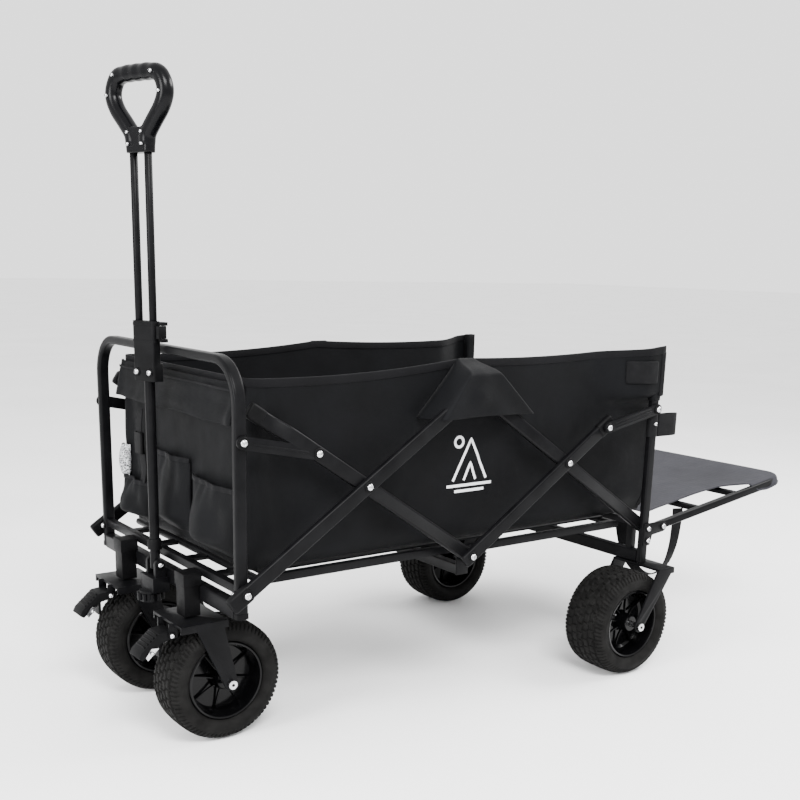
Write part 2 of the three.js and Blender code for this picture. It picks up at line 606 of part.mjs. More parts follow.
// ---- floor ----
function addFloor() {
  const bar = FLOOR.bar / 2;
  const overlap = 4;
  const reach = 2 * HALF_RUN - FLOOR.setback + overlap;
  const bothSides = (ys) => [...new Set(ys.flatMap((y) => [y, -y]))];
  const frame = (ys, direction) => {
    const widest = Math.max(...ys) + bar;
    const cross = rodAlongY(0, 0, bar, -widest, widest, 12);
    const rails = bothSides(ys).map((y) => (
      box(Math.min(0, direction * reach), Math.max(0, direction * reach), y - bar, y + bar, -bar, bar)));
    return join(cross, ...rails);
  };
  place(wagon, 'floor_frame_front', frame(FLOOR.frontYs, -1), STEEL, [FRONT_X - FLOOR.setback, 0, FLOOR.z]);
  place(wagon, 'floor_frame_rear', frame(FLOOR.rearYs, 1), STEEL, [REAR_X + FLOOR.setback, 0, FLOOR.z]);

  const low = bar + 0.5;
  const matLength = 2 * HALF_RUN - FLOOR.setback - 1;
  const mat = (x0, x1) => box(x0, x1, -MAT.halfWidth, MAT.halfWidth, low, low + MAT.thick);
  place(wagon, 'floor_mat_front', mat(-matLength, -4), FABRIC_BLACK, [FRONT_X - FLOOR.setback, 0, FLOOR.z]);
  place(wagon, 'floor_mat_rear', mat(4, matLength), FABRIC_BLACK, [REAR_X + FLOOR.setback, 0, FLOOR.z]);

  const drop = 27;
  const plates = SIDES.map(([, side]) => {
    const plateY = Math.min(side * 229.3, side * 232.3);
    const plate = box(-12, 12, plateY, plateY + 3, -drop - 8, 11);
    return cut(plate, rodAlongY(0, 0, PIN_R + RUNNING_GAP, side * 200, side * 260, 10));
  });
  const tube = box(-8, 8, -230, 230, -drop - 8, -drop + 8);
  place(wagon, 'centre_beam', join(tube, ...plates), STEEL, [CENTRE_X, 0, PIVOT_Z]);
}

// ---- tailgate ----
function addTailgate() {
  const gate = new THREE.Group();
  gate.position.set(-TAIL.pivotX, 0, TAIL.pivotZ);
  gate.rotation.y = TAIL.rise;
  rearPlane.add(gate);

  const bend = 34;
  const corner = (side) => Array.from({ length: 5 }, (_, i) => {
    const angle = i * Math.PI / 8;
    const x = -TAIL.length + bend - bend * Math.sin(angle);
    return new THREE.Vector3(x, side * (POST.mid - bend + bend * Math.cos(angle)), 0);
  });
  const stations = [
    new THREE.Vector3(8, POST.mid, 0),
    ...corner(1),
    ...corner(-1).reverse(),
    new THREE.Vector3(8, -POST.mid, 0),
  ];
  const hoop = sweep(roundedRectangle(TAIL.tall, TAIL.thick, 3), stations);
  const braces = [-115, -225].map((x) => box(x - 6, x + 6, -POST.mid, POST.mid, -5, 5));
  const pins = SIDES.map(([, side]) => rodAlongY(0, 0, 3.5 + RUNNING_GAP, side * 200, side * 300, 10));
  place(gate, 'tail_frame', cut(join(hoop, ...braces), ...pins), STEEL);

  const top = TAIL.tall / 2 + 0.4;
  place(gate, 'tail_fabric', box(-TAIL.length - 6, -14, -240, 240, top, top + 4), FABRIC_GREY);
}

function addPullStrap() {
  const path = new THREE.CatmullRomCurve3([
    new THREE.Vector3(-158, 196, 262),
    new THREE.Vector3(-157, 197, 236),
    new THREE.Vector3(-151, 197, 190),
    new THREE.Vector3(-138, 192, 152),
    new THREE.Vector3(-116, 180, 134),
    new THREE.Vector3(-94, 164, 142),
    new THREE.Vector3(-80, 148, 172),
    new THREE.Vector3(-72, 139, 212),
    new THREE.Vector3(-68, 136, 246),
  ]);
  const strap = new THREE.ExtrudeGeometry(roundedRectangle(3, 22, 1.2), {
    steps: 14, curveSegments: 1, extrudePath: path,
  });
  place(rearPlane, 'tail_pull_strap', solid(strap), WEBBING);
}

// ---- tub fabric ----
function addSideFabric(label, side) {
  const y = side * FABRIC.sideY;
  const half = FABRIC.thick / 2;
  const panel = box(REAR_X - 24, FRONT_X - 12, y - half, y + half, FABRIC.bottom, FABRIC.top);
  place(wagon, `side_fabric_${label}`, panel, FABRIC_BLACK);
}

addFrontFrame();
addHandle();
addRearFrame();
for (const [label, side] of SIDES) {
  addCaster(label, side);
  addSide(label, side);
  addSideFabric(label, side);
}
addFloor();
addTailgate();
addPullStrap();

export default wagon;
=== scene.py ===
"""Looks of the folding wagon: tubes, treaded tyres, draped cloth, straps, fasteners, materials and light.
Metres, +X towards the pull handle, +Y to the wagon's left, +Z up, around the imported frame."""

import json
import math
from contextlib import contextmanager

import bmesh
import bpy
import numpy as np
from mathutils import Matrix, Vector, noise
from mathutils.bvhtree import BVHTree


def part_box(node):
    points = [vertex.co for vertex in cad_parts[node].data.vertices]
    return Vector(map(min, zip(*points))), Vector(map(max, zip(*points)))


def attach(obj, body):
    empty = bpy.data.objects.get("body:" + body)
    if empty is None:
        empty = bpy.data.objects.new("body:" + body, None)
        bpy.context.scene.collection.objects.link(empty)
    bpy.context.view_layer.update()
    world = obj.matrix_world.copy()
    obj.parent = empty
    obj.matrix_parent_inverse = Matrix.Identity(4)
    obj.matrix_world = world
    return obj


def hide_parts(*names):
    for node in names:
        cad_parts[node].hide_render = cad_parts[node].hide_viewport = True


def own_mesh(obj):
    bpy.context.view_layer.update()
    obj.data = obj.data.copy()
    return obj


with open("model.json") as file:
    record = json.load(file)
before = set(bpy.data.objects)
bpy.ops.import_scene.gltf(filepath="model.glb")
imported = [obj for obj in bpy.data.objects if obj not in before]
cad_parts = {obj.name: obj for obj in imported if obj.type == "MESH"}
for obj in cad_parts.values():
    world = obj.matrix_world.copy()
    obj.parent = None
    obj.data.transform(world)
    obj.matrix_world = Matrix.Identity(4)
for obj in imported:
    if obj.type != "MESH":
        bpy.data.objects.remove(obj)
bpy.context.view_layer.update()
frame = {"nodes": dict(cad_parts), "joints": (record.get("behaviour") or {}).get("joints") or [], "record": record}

# ---- places and sizes, from the frame ----
SIDES = (("left", 1), ("right", -1))
RECORD = frame["record"]
BODY_OF = {node: body for body, nodes in RECORD["behaviour"]["bodies"].items() for node in nodes}
PIVOT = {j["name"]: Vector(j["pos_m"]) for j in frame["joints"] if j["type"] == "hinge"}


def low(node):
    return Vector(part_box(node)[0])


def high(node):
    return Vector(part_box(node)[1])


def middle(node):
    return (low(node) + high(node)) / 2


def half_size(node, axis):
    """Half of the node's size along an axis."""
    return (getattr(high(node), axis) - getattr(low(node), axis)) / 2


def at_y(point, y):
    """The point, moved across the wagon."""
    return Vector((point.x, y, point.z))


def linked(name, data):
    """A new object for a mesh, a camera or a light."""
    obj = bpy.data.objects.new(name, data)
    bpy.context.collection.objects.link(obj)
    return obj


FRONT_X = middle("front_hoop").x
REAR_X = middle("rear_post_left").x
CENTRE_X = PIVOT["centre_pivot_left"].x
TOP_PIVOT_Z = 2 * PIVOT["front_cross_pivot_left"].z - PIVOT["centre_pivot_left"].z
BAR = {"width": 0.022, "thick": 0.011, "round": 0.0035}
OUTER_BAR_Y = PIVOT["fold"].y
OUTER_FACE_Y = OUTER_BAR_Y + BAR["thick"] / 2
INNER_BAR_Y = middle("rear_inner_bar_left").y
TUBE = {"leg_y": 0.238, "x": 0.018, "y": 0.013, "bend": 0.058}
TUB = {"y": 0.2115, "bottom": low("side_fabric_left").z, "rear": REAR_X - 0.022, "front": FRONT_X - 0.024}
TAIL = {"y": 0.2525, "length": 0.345, "foot": -0.008, "bend": 0.034, "rise": math.radians(8.4)}

# ---- camera, at the photograph's viewing angle ----
CAMERA_AT = (FRONT_X + 0.6886, 1.5366, 0.7073)
CAMERA_AZIMUTH, CAMERA_ELEVATION, CAMERA_ROLL = (math.radians(a) for a in (143.867, 14.215, 1.357))


def add_camera():
    data = bpy.data.cameras.new("camera")
    data.sensor_width = 36
    data.lens = 49.57
    data.shift_x = 0.0075
    data.shift_y = 0.1745
    camera = linked("camera", data)
    turn = Matrix.Rotation(CAMERA_AZIMUTH, 4, "Z") @ Matrix.Rotation(math.pi / 2 - CAMERA_ELEVATION, 4, "X")
    camera.matrix_world = Matrix.Translation(CAMERA_AT) @ turn @ Matrix.Rotation(CAMERA_ROLL, 4, "Z")
    bpy.context.scene.camera = camera


# ---- materials ----
class Look:
    """A Principled material with short ways to add noise, weave and bump."""

    def __init__(self, name, colour, roughness, metallic=0.0, **sockets):
        self.material = bpy.data.materials.new(name)
        self.material.use_nodes = True
        self.tree = self.material.node_tree
        self.shader = self.tree.nodes["Principled BSDF"]
        self.shader.inputs["Base Color"].default_value = (*colour, 1)
        self.shader.inputs["Roughness"].default_value = roughness
        self.shader.inputs["Metallic"].default_value = metallic
        for socket, value in sockets.items():
            self.shader.inputs[socket.replace("_", " ")].default_value = value
        self.point = self.tree.nodes.new("ShaderNodeTexCoord").outputs["Object"]
        self.height = None

    def node(self, kind, inputs, **settings):
        """A new node, with a value or another node's output for each input named."""
        made = self.tree.nodes.new(kind)
        for key, value in settings.items():
            setattr(made, key, value)
        for socket, value in inputs.items():
            if isinstance(value, bpy.types.NodeSocket):
                self.tree.links.new(value, made.inputs[socket])
            else:
                made.inputs[socket].default_value = value
        return made

    def drive(self, socket, output):
        self.tree.links.new(output, self.shader.inputs[socket])
        return self

    def noise(self, scale, detail=3.0):
        inputs = {"Scale": scale, "Detail": detail, "Vector": self.point}
        return self.node("ShaderNodeTexNoise", inputs).outputs["Fac"]

    def threads(self, pitch, axis):
        """Rounded ridges that repeat every pitch along an axis, from 0 to 1."""
        inputs = {"Scale": math.tau / (20 * pitch), "Distortion": 0.4, "Vector": self.point}
        bands = {"wave_type": "BANDS", "bands_direction": axis, "wave_profile": "SIN"}
        return self.node("ShaderNodeTexWave", inputs, **bands).outputs["Fac"]

    def maths(self, operation, a, b):
        return self.node("ShaderNodeMath", {0: a, 1: b}, operation=operation).outputs[0]

    def colour_by(self, value, low_colour, high_colour, start=0.35, end=0.65):
        ramp = self.node("ShaderNodeValToRGB", {"Fac": value})
        stops = zip(ramp.color_ramp.elements, (start, end), (low_colour, high_colour))
        for stop, position, colour in stops:
            stop.position = position
            stop.color = (*colour, 1)
        return self.drive("Base Color", ramp.outputs["Color"])

    def roughness_by(self, value, lowest, highest):
        spread = self.node("ShaderNodeMapRange", {"Value": value, "To Min": lowest, "To Max": highest})
        return self.drive("Roughness", spread.outputs["Result"])

    def bump(self, value, depth, strength):
        inputs = {"Height": value, "Distance": depth, "Strength": strength}
        if self.height is not None:
            inputs["Normal"] = self.height
        self.height = self.node("ShaderNodeBump", inputs).outputs["Normal"]
        return self.drive("Normal", self.height)


def powder_coat():
    look = Look("powder_coat", (0.0025, 0.0025, 0.0028), 0.28, Specular_IOR_Level=0.055)
    look.colour_by(look.noise(30), (0.0019, 0.0019, 0.0022), (0.0034, 0.0034, 0.0038))
    look.roughness_by(look.noise(60), 0.30, 0.44)
    return look.bump(look.noise(1500, 2), 0.00012, 0.5).material


def moulded_plastic():
    look = Look("moulded_plastic", (0.002, 0.002, 0.0022), 0.36, Specular_IOR_Level=0.055)
    look.colour_by(look.noise(40), (0.0015, 0.0015, 0.0017), (0.0028, 0.0028, 0.0031))
    look.roughness_by(look.noise(90), 0.42, 0.58)
    return look.bump(look.noise(2200, 2), 0.0001, 0.6).material


def gloss_plastic():
    look = Look("gloss_plastic", (0.0012, 0.0012, 0.0014), 0.12, Specular_IOR_Level=0.12)
    look.roughness_by(look.noise(45), 0.10, 0.2)
    return look.bump(look.noise(25, 2), 0.0002, 0.15).material


def grip_plastic():
    look = Look("grip_plastic", (0.0014, 0.0014, 0.0018), 0.2, Specular_IOR_Level=0.09)
    look.roughness_by(look.noise(120), 0.18, 0.32)
    return look.bump(look.noise(1800, 2), 0.00005, 0.4).material


def tyre_rubber():
    look = Look("tyre_rubber", (0.0042, 0.0041, 0.0040), 0.6, Specular_IOR_Level=0.06)
    dust = look.noise(55, 6)
    look.colour_by(dust, (0.0030, 0.0029, 0.0028), (0.0062, 0.0060, 0.0058))
    look.roughness_by(look.noise(80), 0.6, 0.82)
    return look.bump(look.noise(1300, 3), 0.0002, 0.6).material


def bright_zinc():
    look = Look("bright_zinc", (0.72, 0.72, 0.73), 0.24, 1.0)
    look.colour_by(look.noise(300), (0.42, 0.42, 0.43), (0.62, 0.62, 0.63))
    look.roughness_by(look.noise(500), 0.16, 0.34)
    return look.bump(look.noise(1800, 2), 0.00004, 0.5).material


def woven(name, colour, pitch, sheen=0.015, variation=0.3):
    """Coated polyester cloth: crossing threads, soft crumples and slow changes of shade."""
    roughness = 0.62
    look = Look(name, colour, roughness, Specular_IOR_Level=0.055, Sheen_Weight=sheen, Sheen_Roughness=0.45)
    darker = tuple(c * (1 - variation) for c in colour)
    lighter = tuple(c * (1 + variation) for c in colour)
    look.colour_by(look.noise(9, 5), darker, lighter)
    look.roughness_by(look.noise(35), roughness - 0.1, roughness + 0.08)
    across = look.maths("MAXIMUM", look.threads(pitch, "X"), look.threads(pitch, "Y"))
    weave = look.maths("MULTIPLY", across, look.threads(pitch, "Z"))
    look.bump(weave, pitch * 0.22, 0.55)
    return look.bump(look.noise(26, 4), 0.0012, 0.6).material


def webbing_tape():
    look = Look("webbing_tape", (0.0035, 0.0035, 0.0038), 0.7, Specular_IOR_Level=0.06, Sheen_Weight=0.015,
                Sheen_Roughness=0.4)
    look.colour_by(look.noise(60), (0.0026, 0.0026, 0.003), (0.0046, 0.0046, 0.005))
    ribs = look.maths("MAXIMUM", look.threads(0.0016, "X"), look.threads(0.0016, "Z"))
    look.bump(ribs, 0.0004, 0.6)
    return look.bump(look.noise(900, 2), 0.0001, 0.5).material


def white_net():
    """Knitted netting: light cords round dark holes."""
    look = Look("white_net", (0.4, 0.4, 0.42), 0.6, Sheen_Weight=0.05)
    inputs = {"Scale": 300, "Vector": look.point}
    gap = look.node("ShaderNodeTexVoronoi", inputs, feature="DISTANCE_TO_EDGE").outputs["Distance"]
    look.colour_by(gap, (0.55, 0.56, 0.58), (0.012, 0.012, 0.013), 0.04, 0.12)
    return look.bump(look.maths("SUBTRACT", 1.0, gap), 0.0006, 0.8).material


def pale_floor():
    look = Look("pale_floor", (0.9, 0.9, 0.9), 0.85)
    look.colour_by(look.noise(2), (0.88, 0.88, 0.88), (0.92, 0.92, 0.92))
    return look.material


STEEL = powder_coat()
PLASTIC = moulded_plastic()
GLOSS = gloss_plastic()
GRIP = grip_plastic()
RUBBER = tyre_rubber()
ZINC = bright_zinc()
BLACK_CLOTH = woven("black_cloth", (0.0017, 0.0018, 0.0022), 0.0011)
GREY_CLOTH = woven("grey_cloth", (0.021, 0.021, 0.025), 0.0014, variation=0.12)
HEM_CLOTH = woven("hem_cloth", (0.0028, 0.0028, 0.0033), 0.0010, sheen=0.012)
TAPE = webbing_tape()
NET = white_net()
PRINT = Look("print_ink", (0.62, 0.62, 0.64), 0.5).material
LOOK_OF_SLOT = {
    "steel": STEEL, "plastic": PLASTIC, "gloss": GLOSS, "tyre": RUBBER, "zinc": ZINC,
    "fabric_black": BLACK_CLOTH, "fabric_grey": GREY_CLOTH, "webbing": TAPE,
}
SLOT_OF_NODE = {row["node"]: row["material_slot"] for row in RECORD["subparts"]}


# ---- mesh tools ----
@contextmanager
def editing(mesh):
    """The mesh as a bmesh, written back afterwards."""
    bm = bmesh.new()
    bm.from_mesh(mesh)
    yield bm
    bm.to_mesh(mesh)
    bm.free()


def made_of(name, points, faces):
    """A new object of these points and faces."""
    mesh = bpy.data.meshes.new(name)
    mesh.from_pydata([tuple(p) for p in points], [], [tuple(f) for f in faces])
    return linked(name, mesh)


def face_outwards(mesh):
    with editing(mesh) as bm:
        bmesh.ops.recalc_face_normals(bm, faces=bm.faces)


def bevel_edges(bm, edges, width):
    bmesh.ops.bevel(bm, geom=edges, offset=width, segments=2, profile=0.6, affect="EDGES", clamp_overlap=True)


def smooth_by_angle(mesh, degrees):
    """Smooth faces, with sharp edges where two faces meet at more than this angle."""
    limit = math.radians(degrees)
    with editing(mesh) as bm:
        for face in bm.faces:
            face.smooth = True
        for edge in bm.edges:
            edge.smooth = len(edge.link_faces) == 2 and edge.calc_face_angle(0) < limit


def piece(name, points, faces, look, body, angle=40, replaced=()):
    """A new mesh piece that rides on a body."""
    obj = made_of(name, points, faces)
    obj.data.validate()
    return finished(obj, look, body, angle, replaced)


def finished(obj, look, body, angle, replaced=()):
    """Gives an object its normals, smoothing, material and body, and hides the nodes that it stands in for."""
    face_outwards(obj.data)
    smooth_by_angle(obj.data, angle)
    obj.data.materials.clear()
    obj.data.materials.append(look)
    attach(obj, body)
    if replaced:
        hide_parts(*replaced)
    return obj


def rounded_section(width, height, radius, steps=5):
    """Rounded rectangle, as points (across, up)."""
    radius = min(radius, width / 2 - 1e-5, height / 2 - 1e-5)
    across, up = width / 2 - radius, height / 2 - radius
    points = []
    for corner, (side, rise) in enumerate(((1, 1), (-1, 1), (-1, -1), (1, -1))):
        centre = Vector((across * side, up * rise))
        for i in range(steps + 1):
            angle = (corner + i / steps) * math.pi / 2
            points.append(centre + Vector((math.cos(angle), math.sin(angle))) * radius)
    return points


def round_section(radius, sides=24):
    return [Vector((math.cos(a), math.sin(a))) * radius for a in (i * math.tau / sides for i in range(sides))]


def sweep(stations, section, fixed, scales=None, cap=0.0006):
    """Section carried along stations, its first axis in the fixed direction. The capped ends are bevelled."""
    stations = [Vector(s) for s in stations]
    fixed = Vector(fixed).normalized()
    rings = []
    last = len(stations) - 1
    for i, here in enumerate(stations):
        before = (here - stations[i - 1]).normalized() if i else None
        after = (stations[i + 1] - here).normalized() if i < last else None
        along = ((before or after) + (after or before)).normalized()
        stretch = 1 / max(0.5, along.dot(before or after))
        up = fixed.cross(along).normalized()
        size = scales[i] if scales else 1
        rings.append([here + fixed * p[0] * size + up * p[1] * size * stretch for p in section])
    first_way = (stations[0] - stations[1]).normalized()
    last_way = (stations[-1] - stations[-2]).normalized()
    rings.insert(0, [stations[0] + first_way * cap + (p - stations[0]) * 0.88 for p in rings[0]])
    rings.append([stations[-1] + last_way * cap + (p - stations[-1]) * 0.88 for p in rings[-1]])
    return stacked(rings)


def stacked(rings):
    """Closed solid through rings of points, one above another."""
    count = len(rings[0])
    points = [p for ring in rings for p in ring]
    faces = grid_faces(len(rings), count, closed=True)
    faces += [tuple(range(count)), tuple(range(len(points) - count, len(points)))]
    return points, faces


def lathe(profile, axis_point, axis, segments, closed=False):
    """Solid turned about an axis, from points (radius, distance along the axis)."""
    axis = Vector(axis).normalized()
    across = axis.orthogonal().normalized()
    up = axis.cross(across)
    centre = Vector(axis_point)
    points = []
    for i in range(segments):
        way = across * math.cos(i * math.tau / segments) + up * math.sin(i * math.tau / segments)
        points += [centre + way * radius + axis * along for radius, along in profile]
    count = len(profile)
    faces = grid_faces(segments, count, closed, turned=True)
    if not closed:
        faces += [tuple(range(0, len(points), count)), tuple(range(count - 1, len(points), count))]
    return points, faces


def grid_faces(rows, columns, closed=False, turned=False):
    """Faces of a grid: closed joins its last column to its first, and turned its last row to its first."""
    faces = []
    for r in range(rows if turned else rows - 1):
        here, following = r * columns, (r + 1) % rows * columns
        for c in range(columns if closed else columns - 1):
            n = (c + 1) % columns
            faces.append((here + c, here + n, following + n, following + c))
    return faces


def merged(parts):
    """Points and faces of several parts as one list each."""
    points, faces = [], []
    for part_points, part_faces in parts:
        start = len(points)
        points += [tuple(p) for p in part_points]
        faces += [tuple(i + start for i in f) for f in part_faces]
    return points, faces


def thickened(obj, thickness):
    """Rounds a sheet and gives it its thickness, with the modifiers applied."""
    rounding = obj.modifiers.new("rounding", "SUBSURF")
    rounding.levels = rounding.render_levels = 1
    solid = obj.modifiers.new("thickness", "SOLIDIFY")
    solid.thickness = thickness
    solid.offset = 0.0
    apply_modifiers(obj)


def apply_modifiers(obj):
    bpy.context.view_layer.update()
    evaluated = obj.evaluated_get(bpy.context.evaluated_depsgraph_get())
    made = bpy.data.meshes.new_from_object(evaluated)
    obj.modifiers.clear()
    obj.data = made


def refined(node, bevel):
    """The CAD node's shape with its edges rounded, in place of the node."""
    mesh = frame["nodes"][node].data.copy()
    with editing(mesh) as bm:
        bmesh.ops.remove_doubles(bm, verts=bm.verts, dist=1e-5)
        bmesh.ops.dissolve_limit(bm, angle_limit=math.radians(1), verts=bm.verts, edges=bm.edges)
        sharp = [e for e in bm.edges if len(e.link_faces) == 2 and e.calc_face_angle(0) > math.radians(30)]
        bevel_edges(bm, sharp, bevel)
    finished(linked(node + "_fine", mesh), LOOK_OF_SLOT[SLOT_OF_NODE[node]], BODY_OF[node], 42, (node,))


# ---- fasteners ----
def bolt(name, at, axis, body, radius=0.0052, boss=0.0085):
    """Button-head bolt with a round recess, on a black boss unless its radius is 0."""
    base, brim, rise = 0.0016, 0.0006, 0.0034
    profile = [(radius, 0.0), (radius, brim)]
    for i in range(1, 7):
        turn = i / 6 * math.radians(62)
        profile.append((radius * math.cos(turn), brim + rise * math.sin(turn)))
    profile += [(radius * 0.42, brim + rise * 0.9), (radius * 0.40, 0.0016), (0.0002, 0.0014)]
    lifted = [(r, z + base) for r, z in profile]
    piece(name, *lathe(lifted, at, axis, 36), ZINC, body, 35)
    if boss:
        ring = [(boss, 0.0), (boss, base * 0.6), (boss * 0.93, base), (radius * 0.6, base)]
        piece(name + "_boss", *lathe(ring, at, axis, 36), PLASTIC, body, 35)


# ---- front frame ----
def bent_run(half, foot, reach, bend, steps):
    """Run of a U-shaped tube as (across, along): from a foot, round two corners, to the other foot."""
    angles = [i / steps * math.pi / 2 for i in range(steps + 1)]
    corner = [(half - bend + bend * math.cos(a), reach - bend + bend * math.sin(a)) for a in angles]
    return [(half, foot), *corner, *((-across, along) for across, along in reversed(corner)), (-half, foot)]


def add_front_frame():
    leg, ground = TUBE["leg_y"], low("front_hoop").z
    run = bent_run(leg, ground + 0.0006, high("front_hoop").z - TUBE["y"] / 2, TUBE["bend"], 14)
    stations = [Vector((FRONT_X, y, z)) for y, z in run]
    section = rounded_section(TUBE["x"], TUBE["y"], 0.0042, 6)
    piece("front_hoop_tube", *sweep(stations, section, (1, 0, 0)), STEEL, "front_frame", 50, ("front_hoop",))
    for node in ("caster_beam", "front_floor_bar", "handle_hub"):
        refined(node, 0.0014)
    sleeve = rounded_section(TUBE["x"] + 0.001, TUBE["y"] + 0.001, 0.0036)
    for label, side in SIDES:
        refined(f"caster_housing_{label}", 0.003)
        foot = Vector((FRONT_X, side * leg, ground))
        ends = [foot + Vector((0, 0, -0.0015)), foot + Vector((0, 0, 0.006))]
        piece(f"leg_foot_{label}", *sweep(ends, sleeve, (1, 0, 0)), PLASTIC, "front_frame")
        bolt_at = foot + Vector((TUBE["x"] / 2, 0, 0.034))
        bolt(f"leg_bolt_{label}", bolt_at, (1, 0, 0), "front_frame", 0.0042, 0.006)


# ---- pull handle ----
HANDLE_TURN = Matrix.Rotation(math.radians(17), 3, "Z")
HANDLE_NORMAL = HANDLE_TURN @ Vector((1, 0, 0))
GRIP_HALF = 0.065
GRIP_SIDE = GRIP_HALF - 0.0108
ROD_AHEAD = 0.003


def on_handle(ahead, across, z):
    """A point of the upper handle, which stands turned about the lower tube's axis."""
    return Vector((middle("handle_tube").x, 0, z)) + HANDLE_TURN @ Vector((ahead, across, 0))


def upright(name, node, section, inset=0.0):
    """Straight tube in place of an upright node."""
    at = middle(node)
    ends = [(at.x, at.y, low(node).z + inset), (at.x, at.y, high(node).z - inset)]
    piece(name, *sweep(ends, section, (1, 0, 0)), STEEL, BODY_OF[node], 50, (node,))


def moulded(name, parts, look, body, replaced):
    """Joins overlapping parts into one moulded shape: voxel remesh, then smoothing."""
    obj = made_of(name, *merged(parts))
    face_outwards(obj.data)
    remesh = obj.modifiers.new("remesh", "REMESH")
    remesh.mode = "VOXEL"
    remesh.voxel_size = 0.0014
    soften = obj.modifiers.new("soften", "SMOOTH")
    soften.factor = 0.5
    soften.iterations = 7
    apply_modifiers(obj)
    finished(obj, look, body, 180, replaced)


def smooth_step(t):
    t = min(1.0, max(0.0, t))
    return t * t * (3 - 2 * t)


def smooth_path(points, per_span):
    """Catmull-Rom curve through the points."""
    points = [Vector(p) for p in points]
    ends = [2 * points[0] - points[1], *points, 2 * points[-1] - points[-2]]
    path = []
    for i in range(len(points) - 1):
        a, b, c, d = ends[i:i + 4]
        for k in range(per_span):
            t = k / per_span
            path.append(0.5 * (2 * b + (c - a) * t + (2 * a - 5 * b + 4 * c - d) * t ** 2
                               + (3 * b - a - 3 * c + d) * t ** 3))
    path.append(points[-1])
    return path


def add_grip():
    """D-shaped grip: a round ring on a flat neck, with shallow finger waves under its top bar."""
    bottom = low("handle_grip").z
    half_loop = [(0.0140, 0.014), (0.0166, 0.026), (0.0290, 0.0410), (GRIP_SIDE - 0.008, 0.060),
                 (GRIP_SIDE, 0.078), (GRIP_SIDE - 0.0045, 0.0945), (0.0370, 0.1045), (0.0, 0.1063)]
    loop = half_loop + [(-y, z) for y, z in half_loop[-2::-1]]
    path = smooth_path([on_handle(ROD_AHEAD, y, bottom + z) for y, z in loop], 8)
    scales = []
    for p in path:
        across = (p - on_handle(ROD_AHEAD, 0, p.z)).length
        on_top = smooth_step((p.z - bottom - 0.100) / 0.004)
        scales.append(1 + 0.035 * on_top * math.cos(across * math.tau / 0.019))
    ring = sweep(path, rounded_section(0.0235, 0.0228, 0.0108, 6), HANDLE_NORMAL, scales)
    neck = []
    for z, width, thick in ((0.0005, 0.0480, 0.0190), (0.018, 0.0500, 0.0195), (0.028, 0.0540, 0.0210),
                            (0.0345, 0.048, 0.0205)):
        outline = rounded_section(thick, width, 0.007, 6)
        neck.append([on_handle(ROD_AHEAD + px, py, bottom + z) for px, py in outline])
    moulded("grip_moulding", [ring, stacked(neck)], GRIP, "handle_slider", ("handle_grip",))
    spots = ((0.0145, 0.012, 0.0088), (0.0145, 0.028, 0.0092), (GRIP_SIDE, 0.078, 0.0108),
             (0.040, 0.104, 0.0108))
    for n, (across, up, face) in enumerate(spots):
        for label, hand in SIDES:
            at = on_handle(ROD_AHEAD + face, hand * across, bottom + up)
            bolt(f"grip_screw_{label}_{n}", at, HANDLE_NORMAL, "handle_slider", 0.0025, 0)


def add_handle():
    radius = half_size("handle_tube", "x")
    upright("handle_lower_tube", "handle_tube", round_section(radius, 40))
    for label, _ in SIDES:
        node = f"handle_rod_{label}"
        upright(f"handle_slim_rod_{label}", node, round_section(half_size(node, "x"), 40))
    refined("handle_clamp", 0.0012)
    refined("clamp_lever", 0.0012)
    collar_z = low("handle_clamp").z + 0.013
    hub = PIVOT["handle_tilt"]
    for label, hand in SIDES:
        at = on_handle(0.0103, hand * 0.0138, collar_z)
        bolt(f"collar_bolt_{label}", at, HANDLE_NORMAL, "handle_stem", 0.0042, 0.0062)
        bolt(f"hub_bolt_{label}", at_y(hub, hand * 0.018), (0, hand, 0), "front_frame", 0.0042, 0.006)
    head_z = high("handle_clamp").z - 0.0305
    outline = rounded_section(0.0158, 0.0470, 0.0044, 4)
    for z in (head_z, head_z + 0.024):
        rings = [[on_handle(ROD_AHEAD + x, y, z + dz) for x, y in outline] for dz in (0, 0.003)]
        piece(f"clamp_rib_{round(z * 1000)}", *stacked(rings), PLASTIC, "handle_stem", 40)
    collar = [(radius + step, rise) for step, rise in
              ((0.0032, 0.0), (0.0032, 0.012), (0.0018, 0.016), (0.0001, 0.016))]
    collar_at = middle("handle_tube")
    collar_at.z = low("handle_tube").z + 0.030
    piece("handle_tube_collar", *lathe(collar, collar_at, (0, 0, 1), 40), PLASTIC, "handle_stem", 35)
    add_grip()


# ---- wheels ----
def tyre_profile(radius, inner, half):
    """Bead, bulging side, shoulder and slightly crowned tread, as (radius, y) at even steps."""
    side = [
        (inner, half - 0.0085), (inner + 0.004, half - 0.0035), (inner + 0.011, half - 0.0004),
        (radius - 0.014, half - 0.0012), (radius - 0.0065, half - 0.0045), (radius - 0.002, half - 0.0115),
        (radius - 0.0005, half * 0.5), (radius, 0.0),
    ]
    shape = side + [(r, -y) for r, y in side[-2::-1]]
    path = smooth_path([(r, y, 0) for r, y in shape], 16)
    lengths = np.cumsum([0] + [(b - a).length for a, b in zip(path, path[1:])])
    step = 0.00125
    even = np.linspace(0, lengths[-1], int(lengths[-1] / step))
    return np.interp(even, lengths, [p.x for p in path]), np.interp(even, lengths, [p.y for p in path])


def groove(distance, half_width, depth):
    """Depth of a groove with sloping edges, at a distance from its middle."""
    edge = 0.0006
    return depth * np.clip((half_width + edge - distance) / edge, 0, 1)


